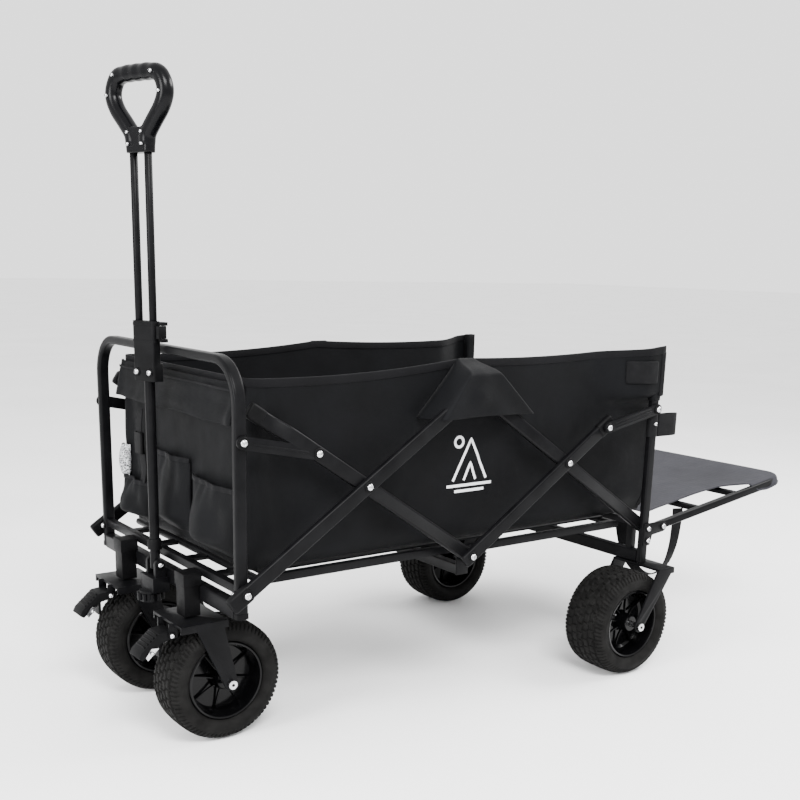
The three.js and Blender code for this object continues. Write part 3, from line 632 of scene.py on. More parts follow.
def tread_depth(angle, r, y, radius, half, blocks):
    """How far the tread is cut in at each angle and width: waved ribs, staggered blocks and shoulder lugs."""
    rib_step, tread_share, rib_cut, block_cut = 0.28, 0.70, 0.0030, 0.0022
    wave = 0.0011 * np.sin(angle * blocks)
    depth = np.zeros(np.broadcast(angle, y).shape)
    for share in (-0.70, -0.42, -0.14, 0.14, 0.42, 0.70):
        depth = np.maximum(depth, groove(np.abs(y - share * half - wave), 0.0014, rib_cut))
    rib_number = np.floor((y - wave) / (rib_step * half) + 100.5)
    pitch = math.tau / blocks
    slant = 2.2 * (y - wave)
    phase = np.mod(angle + slant + 0.5 * pitch * np.mod(rib_number, 2), pitch) - pitch / 2
    inside = np.abs(y) < tread_share * half
    depth = np.maximum(depth, inside * groove(np.abs(phase) * radius, 0.0010, block_cut))
    on_tread = np.clip((r - (radius - 0.006)) / 0.003, 0, 1)
    lug_pitch = pitch / 2
    lug_phase = np.mod(angle + 3.2 * np.abs(y), lug_pitch) - lug_pitch / 2
    beside = np.clip((np.abs(y) / half - tread_share) / 0.04, 0, 1)
    shoulder = beside * np.clip((r - (radius - 0.013)) / 0.004, 0, 1)
    lugs = shoulder * groove(np.abs(lug_phase) * radius, 0.0011, block_cut)
    return np.maximum(depth * on_tread, lugs)


def add_tyre(name, node, body, blocks):
    """Tyre with its tread cut in, as a dense grid round the axle."""
    centre = middle(node)
    radius, half = half_size(node, "z"), half_size(node, "y")
    bead_share, around = 0.66, 600
    rs, ys = tyre_profile(radius, radius * bead_share, half)
    angles = np.linspace(0, math.tau, around, endpoint=False)[:, None]
    depth = tread_depth(angles, rs[None, :], ys[None, :], radius, half, blocks)
    dr, dy = np.gradient(rs), np.gradient(ys)
    size = np.hypot(dr, dy)
    out_r, out_y = -dy / size, dr / size
    r = rs[None, :] - depth * out_r[None, :]
    y = ys[None, :] - depth * out_y[None, :]
    points = np.stack([centre.x + r * np.cos(angles), centre.y + y, centre.z + r * np.sin(angles)], axis=-1)
    columns = len(rs)
    index = np.arange(around * columns).reshape(around, columns)
    following = np.roll(index, -1, axis=0)
    faces = np.stack([index, following, np.roll(following, -1, axis=1), np.roll(index, -1, axis=1)], axis=-1)
    piece(name, points.reshape(-1, 3), faces.reshape(-1, 4), RUBBER, body, 50, (node,))


def add_rim(name, node, body):
    """Rim and hub disc in one turned shape, with eight spokes on each face."""
    centre = middle(node)
    seat, half = half_size(node, "z"), half_size(node, "y")
    well, spokes = 0.007, 8
    one_side = [
        (seat, half), (seat - 0.002, half + 0.0015), (seat - 0.0045, half + 0.0008),
        (seat - 0.006, half - 0.003), (seat - 0.0072, half - 0.012), (seat - 0.0085, well + 0.004),
        (seat - 0.012, well), (0.0190, well), (0.0165, well + 0.003), (0.0150, half - 0.006),
        (0.0130, half - 0.003), (0.0056, half - 0.003),
    ]
    profile = one_side + [(r, -y) for r, y in reversed(one_side)]
    piece(name, *lathe(profile, centre, (0, 1, 0), 96, closed=True), GLOSS, body, 35, (node,))
    section = rounded_section(0.0024, 0.0045, 0.0008, 2)
    run = ((0.0155, 0.008), (0.026, 0.0050), (0.038, 0.0035), (seat - 0.0086, 0.0030))
    for side, label in ((-1, "inner"), (1, "outer")):
        parts = []
        for i in range(spokes):
            angle = (i + 0.25 * side) * math.tau / spokes
            way = Vector((math.cos(angle), 0, math.sin(angle)))
            stations = [centre + way * r + Vector((0, side * (well + lift), 0)) for r, lift in run]
            parts.append(sweep(stations, section, Vector((0, 1, 0)).cross(way)))
        piece(f"{name}_spokes_{label}", *merged(parts), GLOSS, body, 35)


def add_pedal(label):
    """Brake pedal: ridged pad, its zinc pawls and their bolts."""
    node = f"brake_pedal_{label}"
    body = BODY_OF[node]
    refined(node, 0.0018)
    pivot = PIVOT[f"brake_pedal_pivot_{label}"]
    slope = Vector((0.028, 0, -0.024)).normalized()
    half_ridge = Vector((0, 0.0135, 0))
    ridge_section = rounded_section(0.0030, 0.0026, 0.0010, 3)
    for i in range(5):
        at = pivot + Vector((0.0205, 0, 0.0026)) + slope * (0.0062 * i)
        ridge = sweep([at - half_ridge, at + half_ridge], ridge_section, (1, 0, 0))
        piece(f"pedal_ridge_{label}_{i}", *ridge, PLASTIC, body, 60)
    corners = [(0.020, -0.016), (0.037, -0.032), (0.040, -0.027), (0.031, -0.015)]
    for hand, edge in ((1, "outer"), (-1, "inner")):
        out, y, half_thick = (0, hand, 0), hand * 0.0186, 0.0009
        bolt(f"pedal_bolt_{edge}_{label}", pivot + Vector((0, hand * 0.0206, 0)), out, body, 0.0040, 0.0055)
        plate = [[pivot + Vector((x, y + dy, z)) for x, z in corners] for dy in (-half_thick, half_thick)]
        piece(f"pedal_pawl_{edge}_{label}", *stacked(plate), ZINC, body, 30)
        pin = pivot + Vector((0.031, y + hand * half_thick, -0.0215))
        bolt(f"pawl_bolt_{edge}_{label}", pin, out, body, 0.0028, 0)


def add_axle(node):
    """Zinc axle, with a thin dark hexagon disc on its left end: the painted shade of its socket."""
    refined(node, 0.0009)
    mouth = at_y(middle(node), high(node).y + 0.0004)
    # painted shade: a thin dark hexagon disc stands for the shaded recess of the socket
    socket = sweep([mouth - Vector((0, 0.001, 0)), mouth], round_section(0.0026, 6), (1, 0, 0))
    piece(f"{node}_socket", *socket, RUBBER, BODY_OF[node], 30)


def add_wheels():
    for label, _ in SIDES:
        for end in ("caster", "rear"):
            body = f"{end}_wheel_{label}"
            add_tyre(f"{end}_tread_{label}", f"{end}_tyre_{label}", body, 38)
            add_rim(f"{end}_hub_{label}", f"{end}_rim_{label}", body)
            refined(f"{end}_fork_{label}", 0.0018)
            add_axle(f"{end}_axle_{label}")
        add_pedal(label)


# ---- scissors and floor ----
def add_bar(name, node, start, end, y, before=0.0, after=0.0, step=0.0):
    """Rounded flat tube from past one pivot to past another, with an optional step across near its end."""
    a, b = at_y(start, y), at_y(end, y)
    way = (b - a).normalized()
    stations, last = [a - way * before], b + way * after
    if step:
        start_at, end_at = last - way * 0.070, last - way * 0.028
        for i in range(9):
            t = i / 8
            stations.append(start_at.lerp(end_at, t) + Vector((0, step * smooth_step(t), 0)))
    stations.append(last + Vector((0, step, 0)))
    section = rounded_section(BAR["thick"], BAR["width"], BAR["round"], 6)
    piece(name, *sweep(stations, section, (0, 1, 0)), STEEL, BODY_OF[node], 50, (node,))


def add_sleeve(name, node, end, way, y, length=0.030, wall=0.0016):
    """Black plastic end cap pushed over a bar."""
    at = at_y(end, y)
    stations = [at - way * back for back in (length, length - 0.002, 0.004, 0, -0.0022)]
    section = rounded_section(BAR["thick"] + 0.0012, BAR["width"] + 2 * wall, 0.0045, 6)
    sleeve = sweep(stations, section, (0, 1, 0), [0.97, 1, 1, 0.98, 0.9])
    piece(name, *sleeve, PLASTIC, BODY_OF[node], 50)


def add_link(name, node, near, far, side, ridges):
    """Pressed steel strap between two pins, with round ends and raised ridges along it."""
    way = (far - near).normalized()
    across = Vector((0, 1, 0)).cross(way)
    radius, half_thick = 0.0092, 0.0019
    shift = Vector((0, half_thick, 0))
    outline = []
    for centre, turn in ((far, 0), (near, math.pi)):
        for i in range(13):
            angle = turn - math.pi / 2 + i / 12 * math.pi
            outline.append(centre + way * math.cos(angle) * radius + across * math.sin(angle) * radius)
    link = made_of(name, *stacked([[p - shift for p in outline], [p + shift for p in outline]]))
    face_outwards(link.data)
    with editing(link.data) as bm:
        bevel_edges(bm, [e for e in bm.edges if e.calc_face_angle(0) > 1], 0.0007)
    finished(link, STEEL, BODY_OF[node], 42, (node,))
    section = rounded_section(0.0016, 0.0030, 0.0008, 3)
    for n, offset in enumerate(ridges):
        lift = shift * side + across * offset
        a, b = near + way * 0.016 + lift, far - way * 0.016 + lift
        ridge = sweep([a, a + way * 0.004, b - way * 0.004, b], section, (0, 1, 0), [0.5, 1, 1, 0.5])
        piece(f"{name}_ridge_{n}", *ridge, STEEL, BODY_OF[node], 60)


def add_scissors():
    for label, side in SIDES:
        add_scissor(label, side)


def add_scissor(label, side):
    """One side's four bars, three end caps, two links and eight bolts."""
    cross_front, centre, cross_rear, root_front, root_rear = (
        PIVOT[f"{name}_pivot_{label}"] for name in
        ("front_cross", "centre", "rear_cross", "front_link", "rear_link"))
    low_front = at_y(PIVOT["fold"], 0)
    low_rear = Vector((REAR_X, 0, low_front.z))
    top = Vector((CENTRE_X, 0, TOP_PIVOT_Z))
    corner = Vector((FRONT_X, 0, TOP_PIVOT_Z))
    inner_end = corner + (centre - corner).normalized() * 0.028
    link_share, past_link, past_floor, step_in = 0.409, 0.016, 0.024, side * 0.015
    rear_end = cross_rear + (cross_rear - centre) * link_share
    front_end = cross_front + (cross_front - at_y(centre, cross_front.y)) * link_share
    outer, inner, face = side * OUTER_BAR_Y, side * INNER_BAR_Y, side * OUTER_FACE_Y
    front_outer, front_inner, rear_outer, rear_inner, front_link, rear_link = (
        f"{name}_{label}" for name in
        ("front_outer_bar", "front_inner_bar", "rear_outer_bar", "rear_inner_bar", "front_link", "rear_link"))

    add_bar(f"outer_bar_front_{label}", front_outer, low_front, top, outer, past_floor, 0.009)
    add_bar(f"inner_bar_front_{label}", front_inner, centre, inner_end, inner, 0.014, 0, -step_in)
    add_bar(f"outer_bar_rear_{label}", rear_outer, centre, rear_end, outer, 0.014, past_link)
    add_bar(f"inner_bar_rear_{label}", rear_inner, low_rear, top, inner, 0.014, 0.009)

    down = (low_front - top).normalized()
    up = at_y(rear_end - centre, 0).normalized()
    fore = at_y(cross_front - centre, 0).normalized()
    add_sleeve(f"outer_bar_sleeve_{label}", front_outer, low_front + down * past_floor, down, outer)
    add_sleeve(f"rear_bar_sleeve_{label}", rear_outer, rear_end + up * past_link, up, outer)
    add_sleeve(f"inner_bar_sleeve_{label}", front_inner, inner_end, fore, inner - step_in, 0.022, 0.0007)

    front_tip, rear_tip = at_y(front_end, root_front.y), at_y(rear_end, root_rear.y)
    add_link(f"link_front_{label}", front_link, root_front, front_tip, side, (0.0,))
    add_link(f"link_rear_{label}", rear_link, root_rear, rear_tip, side, (-0.0045, 0.0, 0.0045))

    front_face, rear_face = root_front.y + side * 0.002, root_rear.y + side * 0.002
    spots = (
        ("front_low", low_front, face, front_outer),
        ("front_cross", cross_front, face, front_outer),
        ("centre", centre, face, rear_outer),
        ("rear_cross", cross_rear, face, rear_outer),
        ("link_front_root", root_front, front_face, front_link),
        ("link_front_end", front_end, front_face, front_link),
        ("link_rear_root", root_rear, rear_face, rear_link),
        ("link_rear_end", rear_end, rear_face, rear_link),
    )
    for name, pin, y, node in spots:
        bolt(f"bolt_{name}_{label}", at_y(pin, y), (0, side, 0), BODY_OF[node])


def add_floor():
    for node in ("floor_frame_front", "floor_frame_rear", "centre_beam", "rear_floor_bar"):
        refined(node, 0.0016)
    for end in ("front", "rear"):
        add_mat(f"padded_mat_{end}", f"floor_mat_{end}")


def add_mat(name, node):
    """Thin padded mat: quilted on top with thinner edges, and flat below."""
    lo, hi, z = low(node), high(node), middle(node).z
    rows, columns = 44, 50
    above, below = [], []
    for i in range(rows):
        for j in range(columns):
            u, v = i / (rows - 1), j / (columns - 1)
            swell = smooth_step(min(u, 1 - u, v, 1 - v) / 0.06)
            quilt = 0.0007 * abs(math.sin(v * math.pi * 4)) ** 0.5
            x, y = lo.x + (hi.x - lo.x) * u, lo.y + (hi.y - lo.y) * v
            above.append((x, y, z + 0.0012 + (0.0018 + quilt) * swell))
            below.append((x, y, z - 0.0018))
    shift = rows * columns
    top = grid_faces(rows, columns)
    bottom = [tuple(k + shift for k in reversed(face)) for face in top]
    border = [*range(columns), *(r * columns + columns - 1 for r in range(1, rows))]
    border += [*range(shift - 2, shift - columns - 1, -1), *(r * columns for r in range(rows - 2, 0, -1))]
    skirt = [(a, b, b + shift, a + shift) for a, b in zip(border, border[1:] + border[:1])]
    mat = piece(name, above + below, top + bottom + skirt, BLACK_CLOTH, BODY_OF[node], 60, (node,))


# ---- cloth ----
HANG = {"quality": 6, "mass": 0.25, "tension_stiffness": 40, "compression_stiffness": 12,
        "shear_stiffness": 8, "bending_stiffness": 1.2, "air_damping": 2, "vertex_group_mass": "held"}
HANG_FRAMES = 24


def cloth_settled(obj, pins):
    """Lets a sheet hang from its pinned points for a moment, and keeps the result."""
    group = obj.vertex_groups.new(name="held")
    group.add(pins, 1.0, "REPLACE")
    modifier = obj.modifiers.new("hang", "CLOTH")
    for setting, value in HANG.items():
        setattr(modifier.settings, setting, value)
    modifier.point_cache.frame_end = HANG_FRAMES
    scene = bpy.context.scene
    for number in range(1, HANG_FRAMES + 1):
        scene.frame_set(number)
    apply_modifiers(obj)
    scene.frame_set(1)


def top_edge(x, side):
    """Height of the tub's top edge at x: held at the rear post, the middle joint and the hoop."""
    rear, centre = (0.574, 0.562) if side > 0 else (0.560, 0.559)
    front, sag = 0.546, 0.0075
    anchors = [(TUB["rear"], rear), (CENTRE_X, centre), (TUB["front"], front)]
    (x0, z0), (x1, z1) = anchors[:2] if x <= CENTRE_X else anchors[1:]
    t = min(1.0, max(0.0, (x - x0) / (x1 - x0)))
    return z0 + (z1 - z0) * t - sag * 4 * t * (1 - t)


def tub_plan():
    """Plan of the tub's wall, from the rear left corner round the front to the rear right corner."""
    y, rear, front, radius = TUB["y"], TUB["rear"], TUB["front"], 0.022
    steps_side, steps_corner, steps_front = 96, 5, 48
    turn_x, turn_y = front - radius, y - radius
    straight = turn_x - rear
    plan = [Vector((rear + straight * i / steps_side, y)) for i in range(steps_side)]
    for i in range(steps_corner):
        angle = math.pi / 2 * (1 - i / steps_corner)
        plan.append(Vector((turn_x + radius * math.cos(angle), turn_y + radius * math.sin(angle))))
    plan += [Vector((front, turn_y * (1 - 2 * i / steps_front))) for i in range(steps_front)]
    for i in range(steps_corner):
        angle = -math.pi / 2 * i / steps_corner
        plan.append(Vector((turn_x + radius * math.cos(angle), -turn_y + radius * math.sin(angle))))
    return plan + [Vector((turn_x - straight * i / steps_side, -y)) for i in range(steps_side + 1)]


def wall_flare(x, z):
    """Share by which a side wall stands out at its rear end, where its top corner is sewn round the post."""
    fore_end, foot = REAR_X + 0.115, 0.476
    return smooth_step((fore_end - x) / 0.105) * smooth_step((z - foot) / 0.014)


def tub_point(p, v):
    """Point of the tub over p of its plan, at a share v of its height: creased, bowed and tucked in below."""
    side = 1 if p.y > 0 else -1
    z = TUB["bottom"] + 0.0005 + (top_edge(p.x, side) - TUB["bottom"]) * v
    tuck = 0.012 * (1 - smooth_step(v / 0.12))
    bow = 0.006 * math.sin(math.pi * v)
    on_side = abs(p.y) > TUB["y"] - 0.001
    inward = Vector((0, -side)) if on_side else Vector((-1, -p.y / TUB["y"])).normalized()
    creases = noise.noise(Vector((p.x * 7, p.y * 7, z * 11))) * 0.0060
    slant = noise.noise(Vector(((p.x + z) * 13, p.y * 7, (z - p.x) * 3))) * 0.0042
    slant += noise.noise(Vector(((p.x - z) * 19, p.y * 7, (z + p.x) * 5))) * 0.0026
    wrinkle = (creases + slant) * math.sin(math.pi * min(1, v * 1.05))
    flat = Vector((p.x, p.y)) + inward * (tuck - bow + wrinkle)
    if on_side:
        sewn_y, share = 0.2606, wall_flare(p.x, z)
        flat.y = flat.y * (1 - share) + side * sewn_y * share
        upper = smooth_step((z - 0.470) / 0.02)
        flat.x += (0.012 * upper - 0.017 * (1 - upper)) * smooth_step((REAR_X + 0.06 - p.x) / 0.07)
    return flat.x, flat.y, z


def add_tub():
    """One sheet of cloth: left wall, front wall and right wall. Gives its settled grid and surface."""
    plan = tub_plan()
    columns, rows = len(plan), 34
    points = [tub_point(p, r / (rows - 1)) for r in range(rows) for p in plan]
    tub = made_of("tub_cloth", points, grid_faces(rows, columns))
    top_row = (rows - 1) * columns
    held = set(range(columns)) | set(range(top_row, top_row + columns))
    for c, p in enumerate(plan):
        if wall_flare(p.x, 0.5) > 0.5 or c in (0, columns - 1):
            held |= {r * columns + c for r in range(rows)}
    cloth_settled(tub, sorted(held))
    settled = [tuple(v.co) for v in tub.data.vertices]
    grid = np.array(settled).reshape(rows, columns, 3)
    surface = BVHTree.FromPolygons(settled, [tuple(f.vertices) for f in tub.data.polygons])
    thickened(tub, 0.0011)
    finished(tub, BLACK_CLOTH, "front_frame", 180, ("side_fabric_left", "side_fabric_right", "front_panel"))
    squash_with_fold(tub)
    return grid, surface


def squash_with_fold(obj):
    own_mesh(obj)


def ribbon(name, path, width_way, width, thickness, look, body, angle=50):
    """Flat strap along a path; width_way is the direction of its width."""
    section = rounded_section(width, thickness, thickness * 0.45, 3)
    return piece(name, *sweep(path, section, width_way, cap=0.0002), look, body, angle)


def tape_along(name, path, width_way, width, thickness, look=HEM_CLOTH):
    """Tape or strap on the tub, on the same body as the tub."""
    squash_with_fold(ribbon(name, path, width_way, width, thickness, look, "front_frame", 60))


def add_hems(grid):
    """Binding folded over the tub's top edge and its two upright rear edges."""
    top = [Vector(p) + Vector((0, 0, -0.0045)) for p in grid[-1]]
    tape_along("tub_hem", top, (0, 0, 1), 0.013, 0.0034)
    for label, column in (("left", 0), ("right", -1)):
        rear = [Vector(p) + Vector((0.003, 0, 0)) for p in grid[1:-1, column]]
        tape_along(f"rear_hem_{label}", rear, (1, 0, 0), 0.011, 0.0030)


class Wall:
    """Places points on the settled tub, looked at from outside along a level way."""

    def __init__(self, surface, way, start):
        self.surface = surface
        self.way = Vector(way)
        self.start = start
        self.on_side = self.way.x == 0

    def place(self, along, depth, z):
        return Vector((along, depth, z)) if self.on_side else Vector((depth, along, z))

    def at(self, along, z, offset=0.0):
        """Along is X on a side wall and Y on the front wall. The offset stands out from the wall."""
        hit = self.surface.ray_cast(self.place(along, self.start, z), self.way, 1.0)[0]
        if hit is None:
            depth = -self.way.y * TUB["y"] if self.on_side else TUB["front"]
            hit = self.surface.find_nearest(self.place(along, depth, z))[0]
        return hit - self.way * offset


def share_of(span, share):
    return span[0] + (span[1] - span[0]) * share


def sewn_patch(name, wall, span, heights, look, thickness, rows, columns, offset=0.0016, bulge=None):
    """Cloth patch on a wall; bulge(u, v) adds to its standing out."""
    def place(u, v):
        return wall.at(share_of(span, u), share_of(heights, v), offset + (bulge(u, v) if bulge else 0.0))

    patch = sheet_piece(name, rows, columns, place, look, "front_frame", thickness)
    squash_with_fold(patch)


def sheet_piece(name, rows, columns, place, look, body, thickness, replaced=()):
    """Sheet from place(u, v), with thickness."""
    points = [place(c / (columns - 1), r / (rows - 1)) for r in range(rows) for c in range(columns)]
    obj = made_of(name, points, grid_faces(rows, columns))
    thickened(obj, thickness)
    return finished(obj, look, body, 180, replaced)


def add_front_flap(front):
    """Flap over the front wall's top, with a seam along it."""
    def bulge(u, v):
        lift = 0.006 + 0.012 * (1 - v) ** 1.5
        fold = 0.0045 * noise.noise(Vector((u * 4, v * 3.2, 7.0)))
        return lift + (0.0030 * math.sin(u * 11 + v * 5) + fold) * (1.1 - v)

    span, heights = (0.206, -0.208), (0.484, 0.5405)
    sewn_patch("front_flap", front, span, heights, BLACK_CLOTH, 0.0016, 18, 70, bulge=bulge)
    seam = [front.at(0.204 - 0.408 * i / 40, 0.531, 0.012 + 0.0015 * math.sin(i * 0.4)) for i in range(41)]
    tape_along("front_flap_seam", seam, (0, 0, 1), 0.0036, 0.0012)


def add_pouch(name, front, span, heights, depth):
    """Pouch on the front wall with an elastic top."""
    def bulge(u, v):
        across = math.sin(math.pi * min(1, max(0, u))) ** 0.55
        up = smooth_step(v / 0.22) * (1 - 0.62 * smooth_step((v - 0.35) / 0.65))
        gathers = 0.0009 * math.sin(u * 37 + 2 * v) * v ** 3
        gathers += 0.009 * noise.noise(Vector((u * 3.2, v * 2.6, depth * 90)))
        return depth * across * up + gathers * across + 0.001

    sewn_patch(name, front, span, heights, BLACK_CLOTH, 0.0012, 20, 30, bulge=bulge)
    rim_z = heights[1] - 0.003
    rim = [front.at(share_of(span, u), rim_z, 0.0032 + bulge(u, 1.0)) for u in (i / 30 for i in range(31))]
    tape_along(f"{name}_elastic", rim, (0, 0, 1), 0.0075, 0.0020)


def add_net_pocket(front):
    def bulge(u, v):
        return 0.014 * math.sin(math.pi * u) ** 0.6 * math.sin(math.pi * (0.25 + 0.6 * v)) + 0.001

    sewn_patch("net_pocket", front, (-0.182, -0.2055), (0.352, 0.402), NET, 0.0010, 12, 14, bulge=bulge)


def add_pocket_strap(front):
    """Strap over the middle and far pouches, with its buckle."""
    strap_y, top, drop = -0.118, 0.470, 0.120
    strap = []
    for i in range(17):
        lift = 0.010 + 0.004 * math.sin(i * 0.4)
        strap.append(front.at(strap_y + 0.003 * math.sin(i * 0.5), top - drop * i / 16, lift))
    tape_along("pocket_strap", strap, (0, 1, 0), 0.018, 0.0016, TAPE)
    at = front.at(strap_y, 0.415, 0.0135)
    outline = rounded_section(0.007, 0.027, 0.003, 4)
    block = [[at + Vector((x, y, dz)) for x, y in outline] for dz in (-0.017, -0.0155, 0.0155, 0.017)]
    squash_with_fold(piece("pocket_buckle", *stacked(block), PLASTIC, "front_frame", 50))


def add_front_pockets(front):
    add_front_flap(front)
    add_pouch("near_pouch", front, (0.196, 0.052), (0.290, 0.392), 0.026)
    add_pouch("middle_pouch", front, (0.040, -0.088), (0.296, 0.412), 0.020)
    add_pouch("far_pouch", front, (-0.100, -0.204), (0.286, 0.352), 0.024)
    add_net_pocket(front)
    add_pocket_strap(front)


def flap_point(u, v, side, wall):
    """Point of a top flap: sewn to the tub's edge, and wrapped like a tent over the scissors' top joint."""
    drop, joint_y, knuckle_z = 0.0835, 0.2602, TOP_PIVOT_Z - 0.012
    across = (u - 0.5) * 2
    x = CENTRE_X - 0.016 * v - 0.006 + across * (0.016 + 0.094 * v)
    top = top_edge(CENTRE_X, side) + 0.0015
    z = top - drop * v - 0.003 * abs(across) * v
    over = smooth_step(v / 0.22) * smooth_step((1.02 - abs(across)) / 0.20)
    knuckle = math.exp(-((x - CENTRE_X) / 0.016) ** 2 - ((z - knuckle_z) / 0.014) ** 2)
    wall_y = side * wall.at(x, min(z, top - 0.012), 0.0015).y
    y = wall_y + (joint_y - wall_y) * over + 0.005 * knuckle
    return Vector((x, side * (y + 0.0016 * math.sin(across * 7 + v * 3) * v), z))


def add_top_flaps(walls):
    for label, side in SIDES:
        def place(u, v, side=side, wall=walls[label]):
            return flap_point(u, v, side, wall)

        flap = sheet_piece(f"top_flap_{label}", 18, 34, place, BLACK_CLOTH, "front_frame", 0.0016)
        squash_with_fold(flap)


def add_corner_fittings(walls):
    """At each rear post: the tub's sleeve, a hook-and-loop tab on the wall and a stowing loop behind."""
    for label, side in SIDES:
        at = middle(f"rear_post_{label}")
        top = high(f"rear_post_{label}").z + (0.011 if side > 0 else 0.002)
        section = rounded_section(0.0205, 0.0142, 0.0045, 5)
        foot = 0.483
        stations = [Vector((at.x, at.y, share_of((foot, top), i / 12))) for i in range(13)]
        sizes = [1.0 + 0.012 * math.sin(i * 2.1) for i in range(13)]
        sleeve = sweep(stations, section, (1, 0, 0), sizes)
        piece(f"post_sleeve_{label}", *sleeve, BLACK_CLOTH, "rear_frame", 60)
        span, heights = (REAR_X + 0.062, REAR_X + 0.008), (0.513, 0.551)
        sewn_patch(f"corner_tab_{label}", walls[label], span, heights, TAPE, 0.0022, 8, 12, offset=0.0026)
        add_stow_loop(label, at, side)


def add_stow_loop(label, post, side):
    """Limp webbing loop behind a post, and the band that holds it there."""
    z, width = 0.4385, 0.0390
    outline = [(0.010, 0.0045), (0.030, 0.0060), (0.050, 0.0058), (0.0605, 0.0010), (0.050, -0.0042),
               (0.030, -0.0050), (0.010, -0.0045)]
    path = smooth_path([Vector((post.x - back, post.y + side * out, z)) for back, out in outline], 6)
    turns = [i / 24 * math.tau for i in range(25)]
    band = [Vector((post.x + 0.0098 * math.cos(a), post.y + 0.0078 * math.sin(a), z)) for a in turns]
    ribbon(f"stow_loop_{label}", path, (0, 0, 1), width, 0.0018, TAPE, "rear_frame")
    ribbon(f"stow_loop_band_{label}", band, (0, 0, 1), width, 0.0016, TAPE, "rear_frame")


def add_mark(wall):
    """Plain printed mark on the left wall: a tent outline, a round sun over it and two lines below."""
    slope = [(-0.034, -0.032), (0.0, 0.034), (0.034, -0.032)]
    door = [(-0.012, -0.032), (0.0, -0.004), (0.012, -0.032)]
    turns = [i / 20 * math.tau for i in range(21)]
    sun = [(0.024 + 0.008 * math.cos(a), 0.030 + 0.008 * math.sin(a)) for a in turns]
    strokes = [slope, door, sun, [(-0.046, -0.040), (0.046, -0.040)], [(-0.030, -0.049), (0.030, -0.049)]]
    for n, stroke in enumerate(strokes):
        add_stroke(f"mark_stroke_{n}", wall, stroke)


def add_stroke(name, wall, stroke):
    """Printed line through points (across, up) from the mark's centre, on the cloth."""
    x, z, half_width = FRONT_X - 0.424, 0.404, 0.0022
    dense = []
    for (x0, z0), (x1, z1) in zip(stroke, stroke[1:]):
        steps = max(2, round(math.hypot(x1 - x0, z1 - z0) / 0.004))
        dense += [(x0 + (x1 - x0) * k / steps, z0 + (z1 - z0) * k / steps) for k in range(steps)]
    dense.append(stroke[-1])
    points = []
    for i, (px, pz) in enumerate(dense):
        ax, az = dense[max(i - 1, 0)]
        bx, bz = dense[min(i + 1, len(dense) - 1)]
        length = math.hypot(bx - ax, bz - az) or 1
        nx, nz = -(bz - az) / length, (bx - ax) / length
        points += [wall.at(x + px + nx * w, z + pz + nz * w, 0.0010) for w in (-half_width, half_width)]
    squash_with_fold(piece(name, points, grid_faces(len(dense), 2), PRINT, "front_frame", 60))


# ---- rear frame ----
def add_rear_frame():
    section = rounded_section(0.016, 0.012, 0.003, 6)
    hinge = PIVOT["tailgate_hinge"]
    plate_face = high("tail_hinge_plate_left").y - 0.0002
    for label, side in SIDES:
        node = f"rear_post_{label}"
        upright(f"rear_post_tube_{label}", node, section, 0.0006)
        refined(f"tail_hinge_plate_{label}", 0.0008)
        post_face = abs(middle(node).y) + 0.006
        post_bolt_z = 0.442
        spots = (
            ("gusset_bolt_0", (REAR_X - 0.001, plate_face, hinge.z), 0.0046, 0.0068),
            ("gusset_bolt_1", (REAR_X - 0.002, plate_face, hinge.z - 0.022), 0.0046, 0.0068),
            ("tail_bolt", (hinge.x, plate_face, hinge.z), 0.0046, 0.0068),
            ("post_bolt", (REAR_X, post_face, post_bolt_z), 0.0034, 0),
        )
        for name, (x, y, z), radius, boss in spots:
            bolt(f"{name}_{label}", (x, side * y, z), (0, side, 0), "rear_frame", radius, boss)
    refined("rear_beam", 0.0016)


# ---- tailgate ----
def tail_point(along, y, up):
    """A point on the tailgate: along it from its pivot, across, and above its plane."""
    pivot, rise = PIVOT["tailgate_hinge"], TAIL["rise"]
    x = pivot.x - along * math.cos(rise) + up * math.sin(rise)
    return Vector((x, y, pivot.z + along * math.sin(rise) + up * math.cos(rise)))


def add_tail_frame():
    """U-shaped tube with two rungs."""
    run = bent_run(TAIL["y"], TAIL["foot"], TAIL["length"], TAIL["bend"], 10)
    normal = tail_point(0, 0, 1) - tail_point(0, 0, 0)
    tube, rung = rounded_section(0.015, 0.011, 0.003, 6), rounded_section(0.010, 0.012, 0.0025, 4)
    parts = [sweep([tail_point(along, y, 0) for y, along in run], tube, normal)]
    for along in (0.115, 0.225):
        ends = [tail_point(along, -TAIL["y"], 0), tail_point(along, TAIL["y"], 0)]
        parts.append(sweep(ends, rung, normal))
    piece("tail_tube_frame", *merged(parts), STEEL, "tailgate", 50, ("tail_frame",))


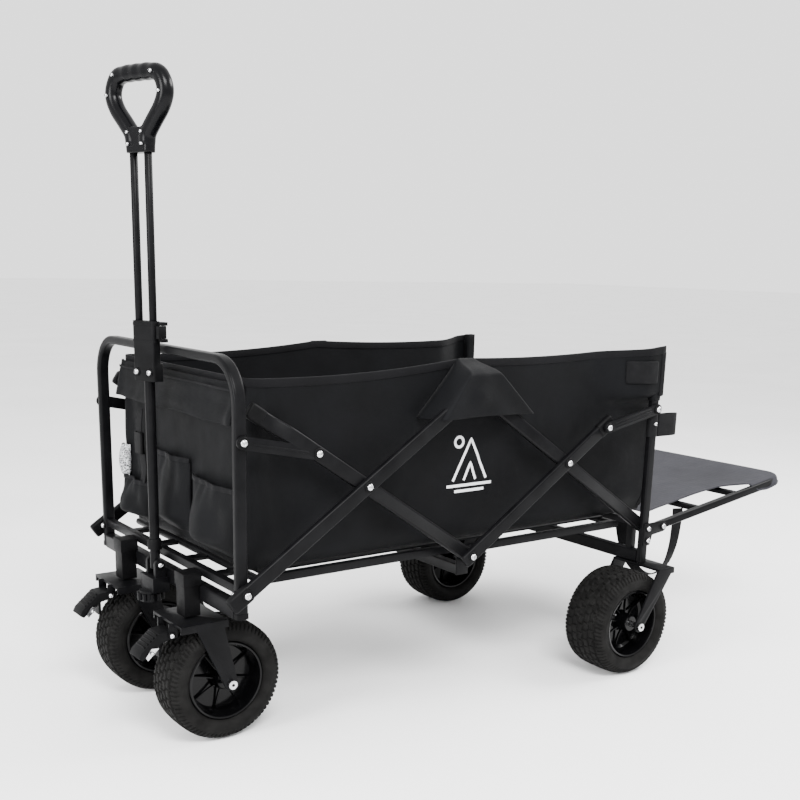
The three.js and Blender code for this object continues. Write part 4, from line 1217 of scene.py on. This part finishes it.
def cover_point(u, v):
    """Point of the tailgate's cover, at a share u of its width and v of its length."""
    flat_part, wrap, over_tube = TAIL["length"] + 0.005, 0.024, 0.0125
    corner_radius, corner_y, start, side_tube_y = 0.042, 0.222, 0.010, 0.2490
    across = (u - 0.5) * 2
    run = start + (flat_part + wrap - start) * v
    share = min(1, run / flat_part)
    half = 0.2120 + 0.0520 * smooth_step((share - 0.58) / 0.26)
    half -= 0.007 * math.sin(math.pi * min(1, share / 0.60))
    y = across * half
    into_corner = min(0.96 * corner_radius, max(0.0, abs(y) - corner_y))
    cut_back = corner_radius - math.sqrt(corner_radius ** 2 - into_corner ** 2)
    hang = max(0.0, abs(y) - side_tube_y)
    y = math.copysign(abs(y) - 0.35 * hang, y)
    side_drop = 1.15 * hang + 0.0012 * math.sin(run * 80) * smooth_step(hang / 0.004)
    bend = max(0.0, run - flat_part) / over_tube
    end_drop = over_tube * (1 - math.cos(min(bend, 1.5))) + max(0.0, bend - 1.5) * over_tube
    along = min(run, flat_part) + over_tube * 0.8 * math.sin(min(bend, 1.5))
    along -= cut_back * smooth_step((share - 0.72) / 0.28)
    up = 0.0122 - 0.0045 * math.sin(math.pi * share) * math.cos(across * math.pi / 2)
    up += 0.0022 * noise.noise(Vector((run * 14, y * 9, 3.0))) * (1 - 0.7 * share)
    return tail_point(along, y, up - max(side_drop, end_drop))


def add_tail_cloth():
    """Grey cover over the tailgate, pulled over the end tube, its corners hanging past the side tubes."""
    rows, columns = 56, 72
    cover = sheet_piece("tail_cover", rows, columns, cover_point, GREY_CLOTH, "tailgate", 0.0014,
                        ("tail_fabric",))
    down = [r / (rows - 1) for r in range(rows)]
    over = [c / (columns - 1) for c in range(columns)]
    edges = (
        ("tail_hem_right", [cover_point(0, v) for v in down], (0, 1, 0)),
        ("tail_hem_left", [cover_point(1, v) for v in down], (0, 1, 0)),
        ("tail_hem_end", [cover_point(u, 1) for u in over], (0, 0, 1)),
    )
    for name, edge, width_way in edges:
        ribbon(name, edge, width_way, 0.0050, 0.0030, GREY_CLOTH, "tailgate")


STRAP_ROUTE = [
    (-0.158, 0.196, 0.262), (-0.157, 0.197, 0.236), (-0.151, 0.197, 0.190), (-0.138, 0.192, 0.152),
    (-0.116, 0.180, 0.134), (-0.094, 0.164, 0.142), (-0.080, 0.148, 0.172), (-0.072, 0.139, 0.212),
    (-0.068, 0.136, 0.246),
]


def twisted_strap(name, path, flat_way, turns, width, thickness, look, body, replaced):
    """Flat strap whose width turns about its run: turns gives an angle for each share of the length."""
    rings = []
    section = rounded_section(width, thickness, thickness * 0.45, 3)
    for i, here in enumerate(path):
        along = (path[min(i + 1, len(path) - 1)] - path[max(i - 1, 0)]).normalized()
        side = (flat_way - along * flat_way.dot(along)).normalized()
        angle = turns(i / (len(path) - 1))
        wide = side * math.cos(angle) + along.cross(side) * math.sin(angle)
        thin = along.cross(wide)
        rings.append([here + wide * p[0] + thin * p[1] for p in section])
    return piece(name, *stacked(rings), look, body, 60, replaced)


def add_pull_strap():
    """Webbing loop under the tailgate, the only free strap: it hangs from both of its ends."""
    path = smooth_path([Vector((REAR_X + x, y, z)) for x, y, z in STRAP_ROUTE], 4)
    across = (path[-1] - path[0]).cross(Vector((0, 0, 1))).normalized()
    width = 0.022

    def turns(share):
        return math.radians(20 + 55 * abs(math.cos(share * math.pi)))

    strap = twisted_strap("pull_strap_webbing", path, across, turns, width, 0.0016, TAPE, "tailgate",
                          ("tail_pull_strap",))


# ---- light and floor ----
def add_light(name, at, aim, size, power):
    data = bpy.data.lights.new(name, "AREA")
    data.shape = "RECTANGLE"
    data.size, data.size_y = size
    data.energy = power
    turn = (Vector(aim) - Vector(at)).to_track_quat("-Z", "Y")
    linked(name, data).matrix_world = Matrix.Translation(at) @ turn.to_matrix().to_4x4()


def add_stage():
    half = 30.0
    corners = [(-half, -half, 0), (half, -half, 0), (half, half, 0), (-half, half, 0)]
    floor = made_of("floor", corners, [(0, 1, 2, 3)])
    floor.data.materials.append(pale_floor())
    world = bpy.data.worlds.new("studio")
    bpy.context.scene.world = world
    world.use_nodes = True
    background = world.node_tree.nodes["Background"].inputs
    background["Color"].default_value = (1, 1, 1, 1)
    background["Strength"].default_value = 2.0
    add_light("key", (0.9, 2.0, 2.4), (0, 0, 0.35), (1.4, 0.9), 170)
    add_light("fill", (2.6, 0.4, 1.2), (0.2, 0, 0.4), (0.9, 1.2), 90)
    add_light("rim", (-2.0, 0.6, 2.2), (0, 0, 0.4), (1.6, 0.8), 110)


add_camera()
add_pull_strap()
add_stage()
add_front_frame()
add_handle()
add_wheels()
add_rear_frame()
add_scissors()
add_floor()
tub_grid, tub_surface = add_tub()
side_walls = {label: Wall(tub_surface, (0, -side, 0), side * 0.4) for label, side in SIDES}
add_hems(tub_grid)
add_front_pockets(Wall(tub_surface, (-1, 0, 0), FRONT_X + 0.2))
add_top_flaps(side_walls)
add_corner_fittings(side_walls)
add_mark(side_walls["left"])
add_tail_frame()
add_tail_cloth()
